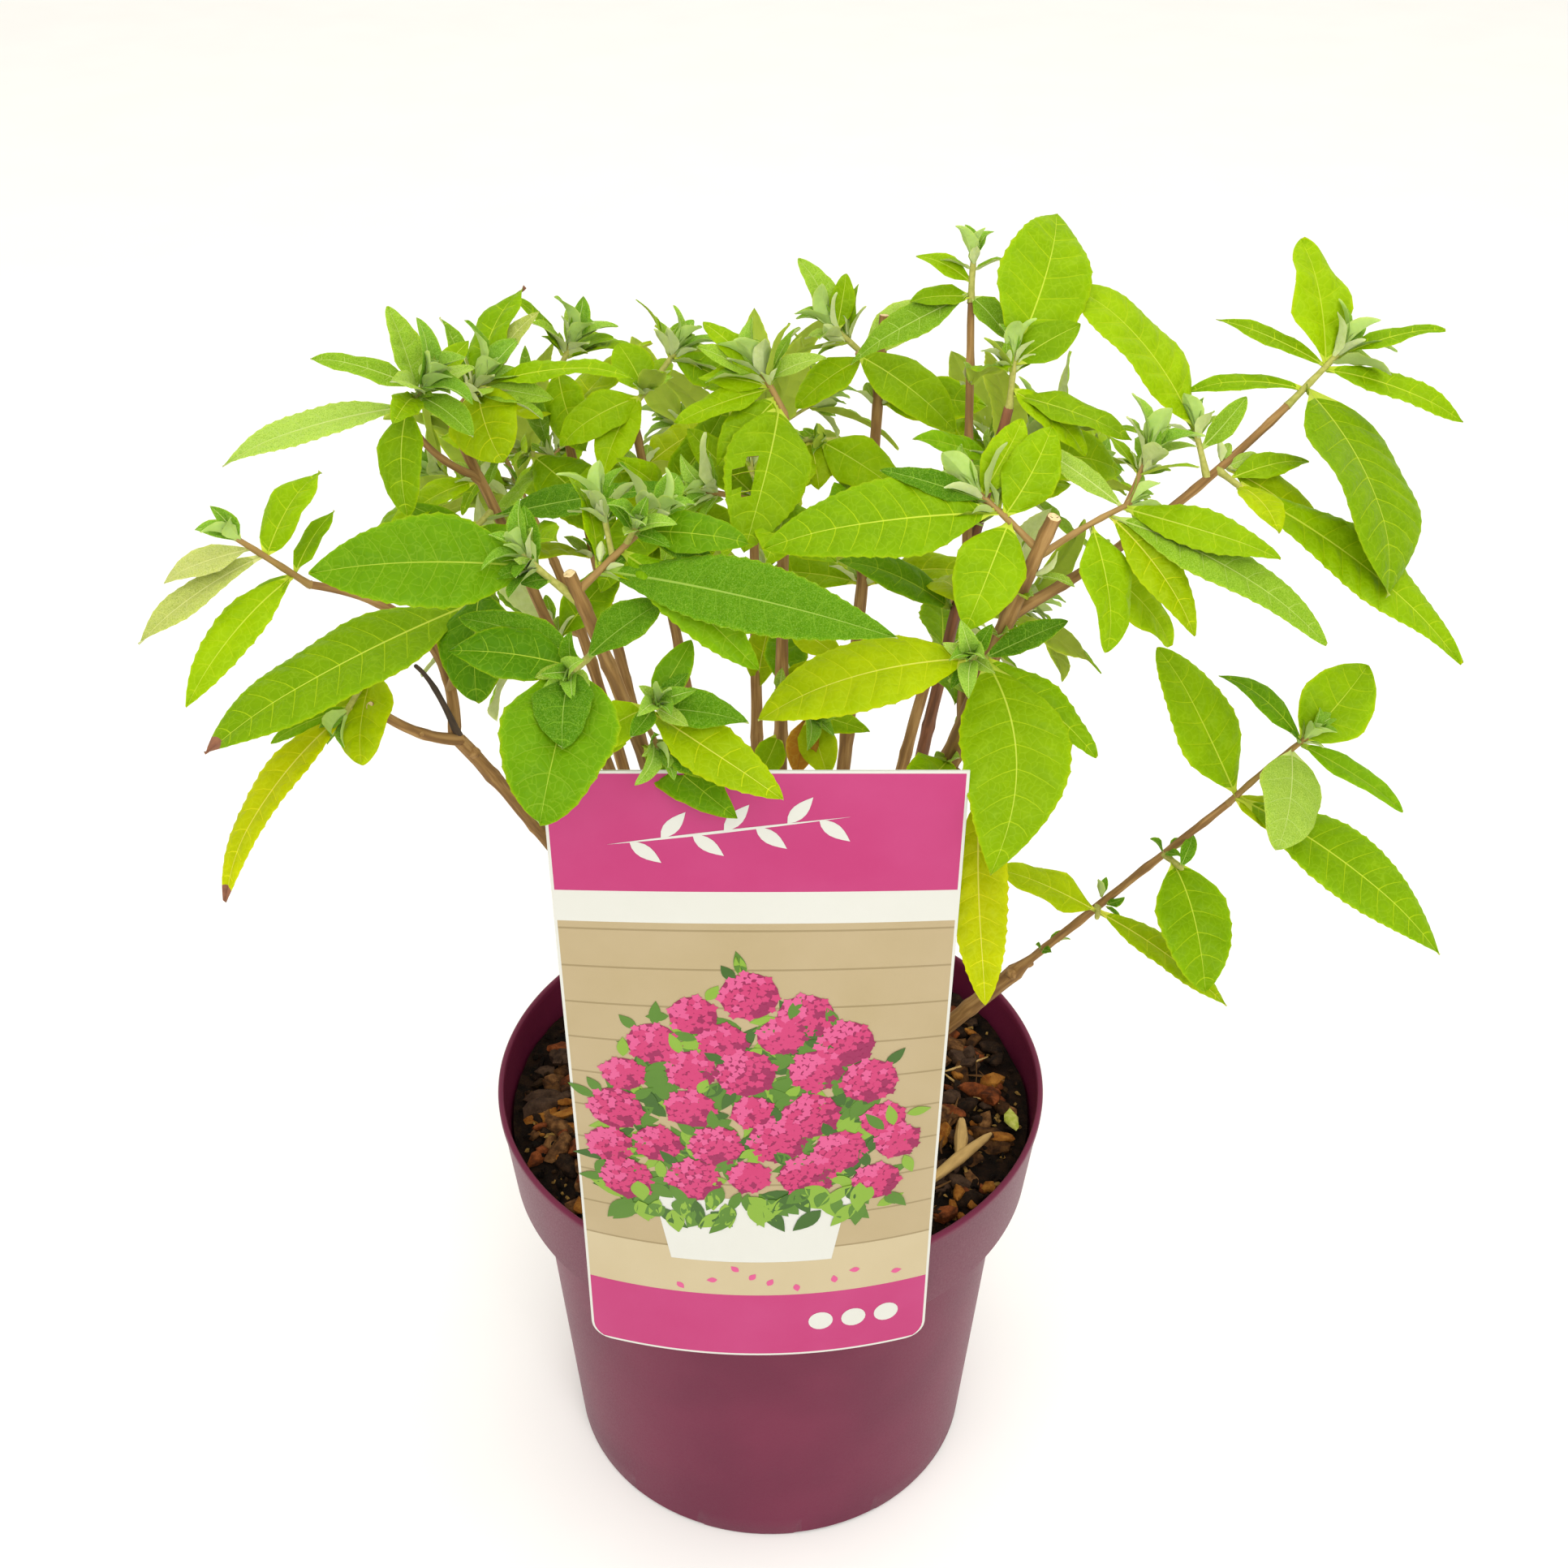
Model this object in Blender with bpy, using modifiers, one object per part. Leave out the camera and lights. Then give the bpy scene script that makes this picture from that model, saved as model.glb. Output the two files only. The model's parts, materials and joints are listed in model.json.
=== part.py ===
"""A young butterfly bush in a round nursery pot with a hang-over plant label.

Lengths below are in millimetres and are scaled to metres where meshes are made.
+Z is up, the origin is the middle of the flat underside of the pot, and the
label stands at the front, on the -Y side.
"""
import math
import random

import bmesh
import bpy
from mathutils import Matrix, Vector
from mathutils.bvhtree import BVHTree

MM = 0.001
GAP = 0.3
SEED = 41

# Pot
POT_STEPS = 48
POT_HEIGHT = 160.0
RIM_RADIUS = 95.0
COLLAR_FOOT_RADIUS = 91.2
COLLAR_DROP = 35.5
BODY_TOP_RADIUS = 83.0
FOOT_RADIUS = 73.0
WALL = 1.5
FLOOR = 3.0

# Compost
SOIL_LEVEL = 142.0
SOIL_FLAT_RADIUS = 48.0
SOIL_UNEVEN = 1.6

# Label
LABEL_TOP = 352.0
LABEL_FOOT = 124.0
LABEL_HALF_TOP = 56.5
LABEL_HALF_FOOT = 54.0
LABEL_CENTRE = -4.0
LABEL_THICK = 0.6
LABEL_BOW = 9.0
LABEL_CORNER = 6.0
TONGUE_WIDTH = 26.0
TONGUE_THICK = 0.8

# Stems that stand on the compost:
# foot x, y, tip x, y, z, sideways bow x, y, z, radius at the foot and the tip
STEMS = {
    "stem_left": (-20, -8, -88, -54, 334, 0, 0, 0, 3.0, 2.0),
    "stem_front": (-8, -26, -50, -94, 410, 6, -4, 8, 3.2, 2.0),
    "stem_left_rear": (-24, 8, -93, 13, 401, 12, -12, 0, 2.6, 1.4),
    "stem_rear_left": (-14, 22, -67, 58, 394, -4, 0, 10, 2.6, 1.3),
    "stem_rear_mid": (-3, 30, -42, 40, 392, -2, 0, 10, 2.4, 1.2),
    "stem_centre": (2, 4, 4, 10, 404, 0, -16, 0, 2.8, 1.5),
    "stem_centre_rear": (12, 20, 34, 45, 421, 2, -6, 0, 2.8, 1.5),
    "stem_trunk": (22, -18, 74, -62, 409, -4, 0, 8, 4.6, 2.3),
    "stem_red": (30, 8, 66, -14, 418, -3, -6, 6, 2.6, 1.4),
    "stem_low_right": (38, 2, 140, -25, 292, 4, 6, -8, 3.4, 1.5),
    "stem_back_left": (-26, 24, -78, 92, 322, -2, 4, 26, 2.6, 1.4),
    "stem_back": (-4, 42, -6, 112, 330, 0, 4, 28, 2.6, 1.4),
    "stem_back_right": (24, 32, 72, 96, 326, 2, 4, 26, 2.6, 1.4),
}

# Boughs: parent, place along it, tip x, y, z, bow x, y, z, radius low and high
BOUGHS = {
    "bough_left_cut": ("stem_left", 1.0, -109, -70, 356, 0, 0, -3, 1.6, 1.3),
    "bough_left_dead": ("stem_left", 0.98, -97, -61, 363, 0, 0, 3, 0.9, 0.6),
    "bough_left": ("stem_left", 0.95, -124, -55, 385, 10, 7, 5, 1.7, 1.1),
    "bough_left_rear": ("stem_left_rear", 0.93, -103, -5, 412, -2, 0, -2, 1.1, 0.9),
    "bough_tall": ("stem_trunk", 0.7, 57, 17, 436, 0, 0, 0, 1.8, 1.0),
    "bough_right": ("stem_trunk", 0.86, 146, -2, 413, 0, 0, -5, 1.6, 1.1),
}

# Shoots.  Each one is a mass of leaves on one limb.
# on: limb and place along it
# twigs: parent twig, place on it, azimuth, rise, length, pairs of leaves by rule,
#        length of those leaves, length of the leaves of the tuft at the tip
# leaves: twig, place on it, azimuth, rise, length, width, kind
SHOOTS = {
    "leaves_left_low": {
        "on": ("bough_left", 0.6),
        "twigs": [(None, 0, -122, -30, 30, 0, 0, 0)],
        "leaves": [
            (0, 0.5, -98, -41, 27, 21, "yellow_green"),
            (0, 0.92, -128, -32, 62, 14, "yellow"),
            (0, 0.92, -166, -19, 24, 7, "green"),
        ],
    },
    "leaves_left_outer": {
        "on": ("bough_left", 1.0),
        "twigs": [(None, 0, -160, 45, 24, 0, 0, 0)],
        "leaves": [
            (0, 0.6, 54, 38, 28, 15, "lime"),
            (0, 0.2, 53, 38, 21, 8, "lime"),
            (0, 0.65, -149, -23, 40, 11, "pale"),
            (0, 0.8, -164, -14, 25, 9, "pale"),
            (0, 0.2, -131, -36, 46, 14, "lime"),
            (0, 0.2, -145, -26, 18, 10, "lime"),
        ],
    },
    "leaves_left_big": {
        "on": ("bough_left", 0.2),
        "twigs": [(None, 0, -45, 65, 46, 0, 0, 0)],
        "leaves": [
            (0, 0.75, -150, -15, 82, 28, "green"),
            (0, 0.85, -90, -36, 32, 22, "green"),
        ],
    },
    "leaves_left_upper": {
        "on": ("bough_left_rear", 1.0),
        "twigs": [(None, 0, -35, 45, 13, 1, 30, 24)],
        "leaves": [
            (0, 0.2, -162, -9, 54, 12, "pale"),
            (0, 0.92, 170, 14, 33, 8, "dark"),
            (0, 0.2, -89, -46, 32, 14, "green"),
        ],
    },
    "leaves_left_top": {
        "on": ("stem_left_rear", 1.0),
        "twigs": [(None, 0, 0, 48, 14, 1, 30, 21)],
        "leaves": [
            (0, 0.9, 68, 38, 38, 14, "lime"),
            (0, 1.0, 45, 34, 30, 8, "pale"),
            (0, 0.92, -5, 2, 46, 9, "lime"),
            (0, 0.92, -66, -34, 25, 22, "yellow_green"),
            (0, 0.92, -8, -12, 23, 8, "dark"),
        ],
    },
    "leaves_left_inner": {
        "on": ("stem_left_rear", 0.9),
        "twigs": [(None, 0, -125, -15, 14, 1, 26, 12)],
        "leaves": [
            (0, 0.2, -4, 12, 60, 13, "dark"),
            (0, 0.5, -40, -26, 24, 16, "green"),
            (0, 0.3, -155, -15, 30, 11, "lime"),
        ],
    },
    "leaves_rear_left_top": {
        "on": ("stem_rear_left", 1.0),
        "twigs": [(None, 0, 0, 62, 13, 1, 28, 19)],
        "leaves": [
            (0, 0.65, 9, 13, 16, 9, "lime"),
            (0, 0.2, -67, -39, 28, 15, "lime"),
        ],
    },
    "leaves_rear_mid_top": {
        "on": ("stem_rear_mid", 1.0),
        "twigs": [(None, 0, 20, 48, 22, 2, 26, 16)],
        "leaves": [
            (0, 0.3, 135, 46, 17, 13, "lime"),
            (0, 0.9, -22, -13, 27, 11, "lime"),
            (0, 0.2, -148, -24, 30, 15, "green"),
            (0, 0.2, -119, -36, 29, 13, "lime"),
        ],
    },
    "leaves_front_left": {
        "on": ("stem_front", 0.955),
        "twigs": [(None, 0, -165, 50, 14, 1, 22, 13)],
        "leaves": [
            (0, 0.6, -170, 4, 56, 25, "green"),
            (0, 0.25, -165, -3, 8, 8, "dark"),
        ],
    },
    "leaves_front_right": {
        "on": ("stem_front", 0.975),
        "twigs": [
            (None, 0, 20, 40, 24, 2, 26, 17),
            (0, 0.4, 110, 55, 14, 1, 18, 13),
            (0, 0.6, -60, 50, 10, 0, 0, 12),
        ],
        "leaves": [
            (0, 0.2, -18, -1, 79, 19, "dark"),
            (0, 0.5, -34, -19, 47, 13, "green"),
            (0, 0.8, -14, -5, 28, 12, "green"),
            (0, 0.9, -26, -18, 20, 9, "dark"),
        ],
    },
    "leaves_front_low": {
        "on": ("stem_front", 0.9),
        "twigs": [(None, 0, -105, 12, 20, 0, 0, 13)],
        "leaves": [
            (0, 0.5, 173, 19, 33, 11, "dark"),
            (0, 0.75, -176, 12, 32, 15, "green"),
            (0, 0.4, 23, 30, 26, 12, "dark"),
            (0, 0.8, -90, -31, 19, 15, "dark"),
            (0, 0.75, -100, -25, 44, 29, "green"),
        ],
    },
    "leaves_front_lowest": {
        "on": ("stem_front", 0.8),
        "twigs": [
            (None, 0, -68, 35, 26, 0, 0, 13),
            (0, 0.25, -60, -25, 12, 0, 0, 8),
        ],
        "leaves": [
            (0, 0.75, -14, 0, 26, 11, "dark"),
            (0, 0.6, -35, -14, 44, 15, "yellow_green"),
            (0, 0.8, 45, 44, 20, 9, "green"),
            (0, 0.6, -150, -18, 20, 12, "lime"),
            (1, 0.9, -20, -6, 26, 11, "dark"),
        ],
    },
    "leaves_centre_top": {
        "on": ("stem_centre", 1.0),
        "twigs": [(None, 0, 140, 50, 14, 1, 28, 20)],
        "leaves": [
            (0, 0.75, 163, 23, 23, 8, "dark"),
            (0, 0.75, 142, 35, 27, 8, "green"),
            (0, 0.35, -138, -32, 27, 14, "green"),
            (0, 0.2, -104, -40, 48, 25, "green"),
            (0, 0.65, 178, 3, 21, 9, "green"),
            (0, 0.6, -164, -14, 30, 10, "green"),
            (0, 0.75, 13, 18, 19, 8, "pale"),
        ],
    },
    "leaves_centre_rear_top": {
        "on": ("stem_centre_rear", 0.94),
        "twigs": [
            (None, 0, 160, 38, 16, 1, 24, 16),
            (0, 0.3, -100, 20, 8, 0, 0, 0),
        ],
        "leaves": [
            (0, 1.0, 125, 48, 26, 10, "dark"),
            (0, 0.9, 72, 52, 18, 8, "green"),
            (0, 0.2, 24, 31, 27, 14, "pale"),
            (0, 0.2, -158, -29, 26, 13, "green"),
            (1, 0.92, -28, -27, 38, 18, "green"),
        ],
    },
    "leaves_centre": {
        "on": ("stem_centre_rear", 0.86),
        "twigs": [(None, 0, -165, 10, 22, 1, 28, 0)],
        "leaves": [
            (0, 0.85, -77, -40, 16, 12, "yellow_green"),
            (0, 0.4, -57, -40, 25, 16, "dark"),
            (0, 0.7, -35, -25, 32, 17, "green"),
            (0, 0.35, -150, -22, 24, 13, "green"),
        ],
    },
    "leaves_tall_top": {
        "on": ("bough_tall", 1.0),
        "twigs": [(None, 0, 84, 70, 12, 0, 0, 9)],
        "leaves": [
            (0, 0.4, 164, 22, 18, 7, "green"),
            (0, 0.1, -175, -8, 18, 9, "green"),
            (0, 0.2, -168, -22, 40, 12, "dark"),
            (0, 0.1, -42, -32, 16, 9, "dark"),
        ],
    },
    "leaves_right_top": {
        "on": ("stem_red", 1.0),
        "twigs": [(None, 0, 80, 62, 14, 1, 20, 12)],
        "leaves": [
            (0, 1.0, 69, 42, 50, 27, "lime"),
            (0, 0.8, 20, 24, 22, 12, "green"),
            (0, 0.3, -30, -22, 28, 13, "lime"),
            (0, 0.2, -20, -12, 36, 13, "green"),
        ],
    },
    "leaves_right_inner": {
        "on": ("stem_trunk", 0.955),
        "twigs": [(None, 0, 145, 30, 20, 1, 26, 18)],
        "leaves": [
            (0, 0.8, 174, 16, 30, 8, "dark"),
            (0, 0.9, 46, 40, 24, 11, "lime"),
            (0, 0.5, 48, 38, 28, 15, "lime"),
            (0, 0.4, -120, -41, 32, 19, "lime"),
            (0, 0.6, -168, -9, 64, 24, "lime"),
        ],
    },
    "leaves_right_outer": {
        "on": ("stem_trunk", 0.945),
        "twigs": [
            (None, 0, 30, 15, 28, 0, 0, 0),
            (0, 0.95, 42, 60, 15, 1, 22, 18),
        ],
        "leaves": [
            (0, 1.0, 156, 28, 30, 7, "pale"),
            (0, 0.92, -23, -14, 44, 13, "green"),
            (0, 0.75, -27, -19, 67, 19, "dark"),
            (0, 0.55, -80, -45, 35, 17, "lime"),
            (0, 0.75, -42, -32, 40, 13, "yellow_green"),
        ],
    },
    "leaves_right_low": {
        "on": ("stem_trunk", 0.8),
        "twigs": [(None, 0, -110, 30, 22, 0, 0, 12)],
        "leaves": [
            (0, 0.2, -93, -41, 61, 30, "lime"),
            (0, 0.92, -167, -10, 60, 25, "yellow_green"),
            (0, 0.2, -35, -26, 41, 13, "green"),
            (0, 0.2, 10, 23, 25, 8, "dark"),
        ],
    },
    "leaves_right_under": {
        "on": ("stem_trunk", 0.64),
        "twigs": [(None, 0, -50, -5, 18, 0, 0, 0)],
        "leaves": [(0, 0.55, -89, -46, 62, 17, "yellow")],
    },
    "leaves_mid_low": {
        "on": ("stem_centre", 0.67),
        "twigs": [(None, 0, -60, 10, 16, 0, 0, 0)],
        "leaves": [
            (0, 0.92, -105, -34, 19, 10, "dry"),
            (0, 0.92, -71, -33, 20, 12, "pale"),
            (0, 0.4, -18, -8, 24, 9, "lime"),
        ],
    },
    "leaves_far_right_inner": {
        "on": ("bough_right", 0.7),
        "twigs": [(None, 0, 110, 50, 12, 0, 0, 13)],
        "leaves": [
            (0, 0.92, 145, 40, 55, 25, "lime"),
            (0, 0.5, 30, 40, 20, 7, "dark"),
        ],
    },
    "leaves_far_right_under": {
        "on": ("bough_right", 0.74),
        "twigs": [(None, 0, -55, -10, 8, 0, 0, 0)],
        "leaves": [
            (0, 0.9, -24, -23, 80, 20, "lime"),
            (0, 0.4, 20, 4, 26, 9, "green"),
            (0, 0.9, -75, -2, 26, 11, "yellow_green"),
        ],
    },
    "leaves_far_right_top": {
        "on": ("bough_right", 1.0),
        "twigs": [(None, 0, 25, 40, 20, 0, 0, 19)],
        "leaves": [
            (0, 0.35, -68, -39, 66, 40, "green"),
            (0, 0.75, 104, 50, 38, 20, "lime"),
            (0, 0.75, 165, 20, 34, 7, "green"),
            (0, 0.3, 180, 4, 34, 8, "lime"),
            (0, 1.0, 5, 8, 32, 7, "lime"),
            (0, 0.7, -16, -14, 42, 10, "lime"),
        ],
    },
    "leaves_low_right_tip": {
        "on": ("stem_low_right", 1.0),
        "twigs": [(None, 0, -15, 54, 34, 0, 0, 9)],
        "leaves": [
            (0, 0.1, 138, 52, 52, 23, "lime"),
            (0, 1.0, 158, 35, 32, 10, "green"),
            (0, 1.0, 34, 38, 31, 22, "lime"),
            (0, 0.9, -30, -20, 36, 11, "green"),
            (0, 0.8, -104, -36, 32, 23, "pale"),
            (0, 0.1, -34, -22, 76, 24, "lime"),
            (0, 0.0, -20, -19, 24, 13, "yellow_green"),
        ],
    },
    "leaves_low_right_mid": {
        "on": ("stem_low_right", 0.83),
        "twigs": [(None, 0, -70, 10, 8, 0, 0, 0)],
        "leaves": [
            (0, 0.2, -75, -39, 43, 24, "lime"),
            (0, 0.9, 60, 35, 12, 5, "dark"),
        ],
    },
    "leaves_low_right_low": {
        "on": ("stem_low_right", 0.67),
        "twigs": [(None, 0, -100, 15, 7, 0, 0, 0)],
        "leaves": [
            (0, 0.2, -31, -22, 51, 13, "yellow_green"),
            (0, 0.2, 170, 22, 36, 15, "yellow_green"),
        ],
    },
    "leaves_rear_left_mid": {
        "on": ("stem_rear_left", 0.88),
        "twigs": [(None, 0, -150, 25, 26, 3, 36, 15)],
        "leaves": [(0, 0.5, -45, -20, 40, 19, "green")],
    },
    "leaves_rear_mid_low": {
        "on": ("stem_rear_mid", 0.86),
        "twigs": [(None, 0, -60, 25, 24, 3, 36, 14)],
        "leaves": [(0, 0.5, -125, -20, 38, 18, "green")],
    },
    "leaves_centre_mid": {
        "on": ("stem_centre", 0.9),
        "twigs": [(None, 0, -165, 20, 22, 2, 34, 13)],
        "leaves": [(0, 0.6, -40, -15, 38, 17, "lime")],
    },
    "leaves_back_left": {
        "on": ("stem_back_left", 1.0),
        "twigs": [
            (None, 0, 125, 40, 34, 3, 62, 22),
            (0, 0.3, 180, 20, 34, 2, 54, 18),
            (0, 0.5, 60, 15, 26, 1, 44, 14),
            (0, 0.6, 130, -15, 26, 1, 48, 14),
        ],
        "leaves": [],
    },
    "leaves_back": {
        "on": ("stem_back", 1.0),
        "twigs": [
            (None, 0, 95, 35, 36, 3, 64, 22),
            (0, 0.3, 150, 10, 32, 2, 54, 18),
            (0, 0.45, 30, 20, 30, 2, 50, 16),
            (0, 0.6, 88, -15, 28, 1, 50, 14),
        ],
        "leaves": [],
    },
    "leaves_back_right": {
        "on": ("stem_back_right", 1.0),
        "twigs": [
            (None, 0, 50, 40, 34, 3, 62, 22),
            (0, 0.3, 0, 15, 32, 2, 54, 18),
            (0, 0.5, 105, 20, 28, 1, 46, 14),
            (0, 0.6, 55, -15, 26, 1, 48, 14),
        ],
        "leaves": [],
    },
    "leaves_back_low_left": {
        "on": ("stem_back_left", 0.72),
        "twigs": [(None, 0, 160, 5, 32, 3, 58, 15)],
        "leaves": [],
    },
    "leaves_back_low": {
        "on": ("stem_back", 0.68),
        "twigs": [(None, 0, 80, 5, 32, 3, 60, 15)],
        "leaves": [],
    },
    "leaves_back_low_right": {
        "on": ("stem_back_right", 0.7),
        "twigs": [(None, 0, 20, 5, 32, 3, 58, 15)],
        "leaves": [],
    },
}

# Colours
POT_COLOUR = "7E2F52"
SOIL_COLOUR = "3A2418"
LABEL_COLOUR = "B5AA94"
BARK_COLOUR = "8A6B47"
RED_BARK_COLOUR = "7A4A32"
LEAF_COLOURS = {
    "green": "6AA81E",
    "lime": "93C412",
    "yellow_green": "B6CF10",
    "yellow": "D2D412",
    "dark": "4C8A3A",
    "pale": "A9C08A",
    "dry": "B57A2E",
}


# Directions and paths

def heading(azimuth, rise):
    turn = math.radians(azimuth)
    lift = math.radians(rise)
    flat = math.cos(lift)
    return Vector((flat * math.cos(turn), flat * math.sin(turn), math.sin(lift)))


def limb_path(start, tip, bow, count):
    """Points from start to tip, pushed aside by the bow in the middle."""
    points = []
    for step in range(count + 1):
        part = step / count
        swell = 4.0 * part * (1.0 - part)
        points.append(start.lerp(tip, part) + bow * swell)
    return points


def point_on(path, place):
    """Point and direction at a place from 0 to 1 along a path."""
    span = place * (len(path) - 1)
    index = min(int(span), len(path) - 2)
    low, high = path[index], path[index + 1]
    return low.lerp(high, span - index), (high - low).normalized()


def side_clearance(axis, direction, axis_radius, own_radius):
    """Distance along a direction at which a limb's cut end clears its parent."""
    lean = max(0.35, axis.cross(direction).length)
    tilt = math.sqrt(max(0.0, 1.0 - lean * lean))
    return (axis_radius + GAP + own_radius * tilt) / lean


def end_clearance(axis, direction, own_radius):
    """Distance past a limb's cut end at which a leaning limb clears it."""
    return GAP + own_radius * axis.cross(direction).length


def radius_at(low, high, place):
    return low + (high - low) * place


def all_limbs():
    """Path and radii of every stem and bough, by name."""
    limbs = {}
    for name, row in STEMS.items():
        foot = Vector((row[0], row[1], SOIL_LEVEL + GAP))
        path = limb_path(foot, Vector(row[2:5]), Vector(row[5:8]), 6)
        limbs[name] = (path, row[8], row[9])
    for name, row in BOUGHS.items():
        path, low, high = limbs[row[0]]
        place = row[1]
        base, axis = point_on(path, place)
        tip = Vector(row[2:5])
        toward = (tip - base).normalized()
        if place >= 1.0:
            start = base + axis * end_clearance(axis, toward, row[8])
        else:
            start = base + toward * side_clearance(axis, toward, radius_at(low, high, place), row[8])
        limbs[name] = (limb_path(start, tip, Vector(row[5:8]), 4), row[8], row[9])
    return limbs


# The growth rule

def square_to(direction, guide):
    """The guide with its part along the direction taken away."""
    rest = guide - direction * guide.dot(direction)
    if rest.length < 0.05:
        rest = direction.orthogonal()
    return rest.normalized()


def leaf(base, direction, guide, length, width, kind, rng):
    """One leaf as sizes and directions; its upper face looks toward the guide."""
    roll = math.radians(rng.uniform(-14, 14))
    face = Matrix.Rotation(roll, 3, direction) @ square_to(direction, guide)
    return {
        "base": base,
        "direction": direction,
        "face": face,
        "length": length,
        "width": width,
        "arch": rng.uniform(0.04, 0.10),
        "fold": rng.uniform(0.05, 0.14),
        "kind": kind,
    }


def outward_guide(point):
    """Where a leaf at this point turns its upper face: up and out of the crown."""
    out = Vector((point.x * 0.4, point.y * 0.4 - 45, 0)).normalized()
    return (Vector((0, 0, 1)) + out * 0.6).normalized()


def pair_leaves(base, axis, turn, spread, length, width, kind, rng):
    """Two opposite leaves that stand off a twig at the spread angle."""
    side = square_to(axis, Vector((0, 0, 1)))
    leaves = []
    for half in (0.0, math.pi):
        out = Matrix.Rotation(turn + half, 3, axis) @ side
        tilt = spread + rng.uniform(-0.12, 0.12)
        direction = (axis * math.cos(tilt) + out * math.sin(tilt)).normalized()
        long = length * rng.uniform(0.88, 1.08)
        root = base + out * 0.3 + axis * rng.uniform(-0.3, 0.3)
        leaves.append(leaf(root, direction, axis + Vector((0, 0, 0.5)), long, width * long / length, kind, rng))
    return leaves


def tuft_leaves(tip, axis, length, pairs, rng):
    """Closely set young leaves that close up toward the twig's tip."""
    leaves = []
    turn = rng.uniform(0.0, math.pi)
    for step in range(pairs):
        size = length * (1.0 - 0.24 * step)
        spread = math.radians(66 - 17 * step)
        kind = "pale" if step else "dark"
        base = tip - axis * (3.4 - 1.1 * step)
        leaves += pair_leaves(base, axis, turn, spread, size, size * 0.36, kind, rng)
        turn += math.pi / 2 + rng.uniform(-0.2, 0.2)
    return leaves


def grow_shoot(name, limbs, tuft_pairs):
    """Twigs and leaves of one shoot."""
    shoot = SHOOTS[name]
    rng = random.Random(f"{SEED} {name}")
    limb, place = shoot["on"]
    path, low, high = limbs[limb]
    anchor, axis = point_on(path, place)
    twigs = []
    leaves = []
    for parent, spot, azimuth, rise, length, pairs, pair_length, tuft in shoot["twigs"]:
        direction = heading(azimuth, rise)
        thick = 1.2 if parent is None else 0.95
        if parent is not None:
            base = twigs[parent][0].lerp(twigs[parent][1], spot)
        elif place >= 1.0:
            base = anchor + axis * end_clearance(axis, direction, thick * 1.25)
        else:
            base = anchor + direction * side_clearance(axis, direction, radius_at(low, high, place), thick)
        tip = base + direction * length
        twigs.append((base, tip, thick, thick * 0.75))
        turn = rng.uniform(0.0, math.pi)
        for step in range(pairs):
            part = 0.2 + 0.65 * step / max(1, pairs - 1) if pairs > 1 else 0.6
            size = pair_length * (1.0 - 0.3 * part)
            kind = rng.choice(("green", "green", "lime", "dark"))
            spot_on = base.lerp(tip, part)
            leaves += pair_leaves(spot_on, direction, turn, 1.05, size, size * 0.34, kind, rng)
            turn += math.pi / 2
        if tuft:
            leaves += tuft_leaves(tip, direction, tuft, tuft_pairs(tuft), rng)
    for index, spot, azimuth, rise, length, width, kind in shoot["leaves"]:
        low_end, high_end = twigs[index][0], twigs[index][1]
        base = low_end.lerp(high_end, max(0.08, min(0.92, spot)))
        direction = heading(azimuth, rise)
        base = base - direction * 0.3 + Vector((0, 0, rng.uniform(-0.2, 0.2)))
        leaves.append(leaf(base, direction, outward_guide(base), length, width, kind, rng))
    return twigs, leaves


# Plain solids as corner lists and faces, in millimetres

def leaf_solid(item, grow=0.0):
    """A thin folded blade that runs to a point at its tip and inside the twig."""
    length = item["length"]
    half = item["width"] / 2
    thick = 0.35 + length * 0.009
    if length > 45:
        sections = ((0.1, 0.1 * half + 0.7, 0.8), (0.4, half, 1.0), (0.72, half * 0.68, 0.8))
    elif length > 24:
        sections = ((0.3, half * 0.86, 1.0), (0.66, half * 0.78, 0.9))
    else:
        sections = ((0.42, half, 1.0),)
    direction = item["direction"]
    face = item["face"]
    side = direction.cross(face)
    corners = [item["base"] - direction * grow]
    for place, wide, share in sections:
        lift = item["arch"] * length * 4.0 * place * (1.0 - place)
        middle = item["base"] + direction * (length * place) + face * lift
        raise_edge = face * (item["fold"] * wide)
        corners += [
            middle - side * (wide + grow) + raise_edge,
            middle + face * (thick * share / 2 + grow),
            middle + side * (wide + grow) + raise_edge,
            middle - face * (thick * share / 2 + grow),
        ]
    corners.append(item["base"] + direction * (length + grow))
    faces = []
    rings = len(sections)
    for corner in range(4):
        after = (corner + 1) % 4
        faces.append((0, 1 + after, 1 + corner))
        for ring in range(rings - 1):
            here = 1 + ring * 4
            faces.append((here + corner, here + after, here + 4 + after, here + 4 + corner))
        last = 1 + (rings - 1) * 4
        faces.append((last + corner, last + after, last + 4))
    return corners, faces


def twig_solid(twig, grow=0.0):
    """A three-sided tapering twig."""
    base, tip, low, high = twig
    axis = (tip - base).normalized()
    across = square_to(axis, Vector((0, 0, 1)))
    corners = []
    for point, radius in ((base, low), (tip, high)):
        for step in range(3):
            arm = Matrix.Rotation(step * math.tau / 3, 3, axis) @ across
            corners.append(point + arm * (radius * 1.25 + grow))
    faces = [(2, 1, 0), (3, 4, 5)]
    for step in range(3):
        after = (step + 1) % 3
        faces.append((step, after, after + 3, step + 3))
    return corners, faces


def tree_of(solid):
    corners, faces = solid
    return BVHTree.FromPolygons(corners, faces)


def touches(tree, others):
    return any(tree.overlap(other) for other in others)


# Meshes, objects and collections

def new_collection(name):
    collection = bpy.data.collections.new(name)
    bpy.context.scene.collection.children.link(collection)
    return collection


def mesh_from(name, corners, faces):
    mesh = bpy.data.meshes.new(name)
    mesh.from_pydata([corner * MM for corner in corners], [], faces)
    work = bmesh.new()
    work.from_mesh(mesh)
    bmesh.ops.recalc_face_normals(work, faces=work.faces)
    work.to_mesh(mesh)
    work.free()
    return mesh


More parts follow.
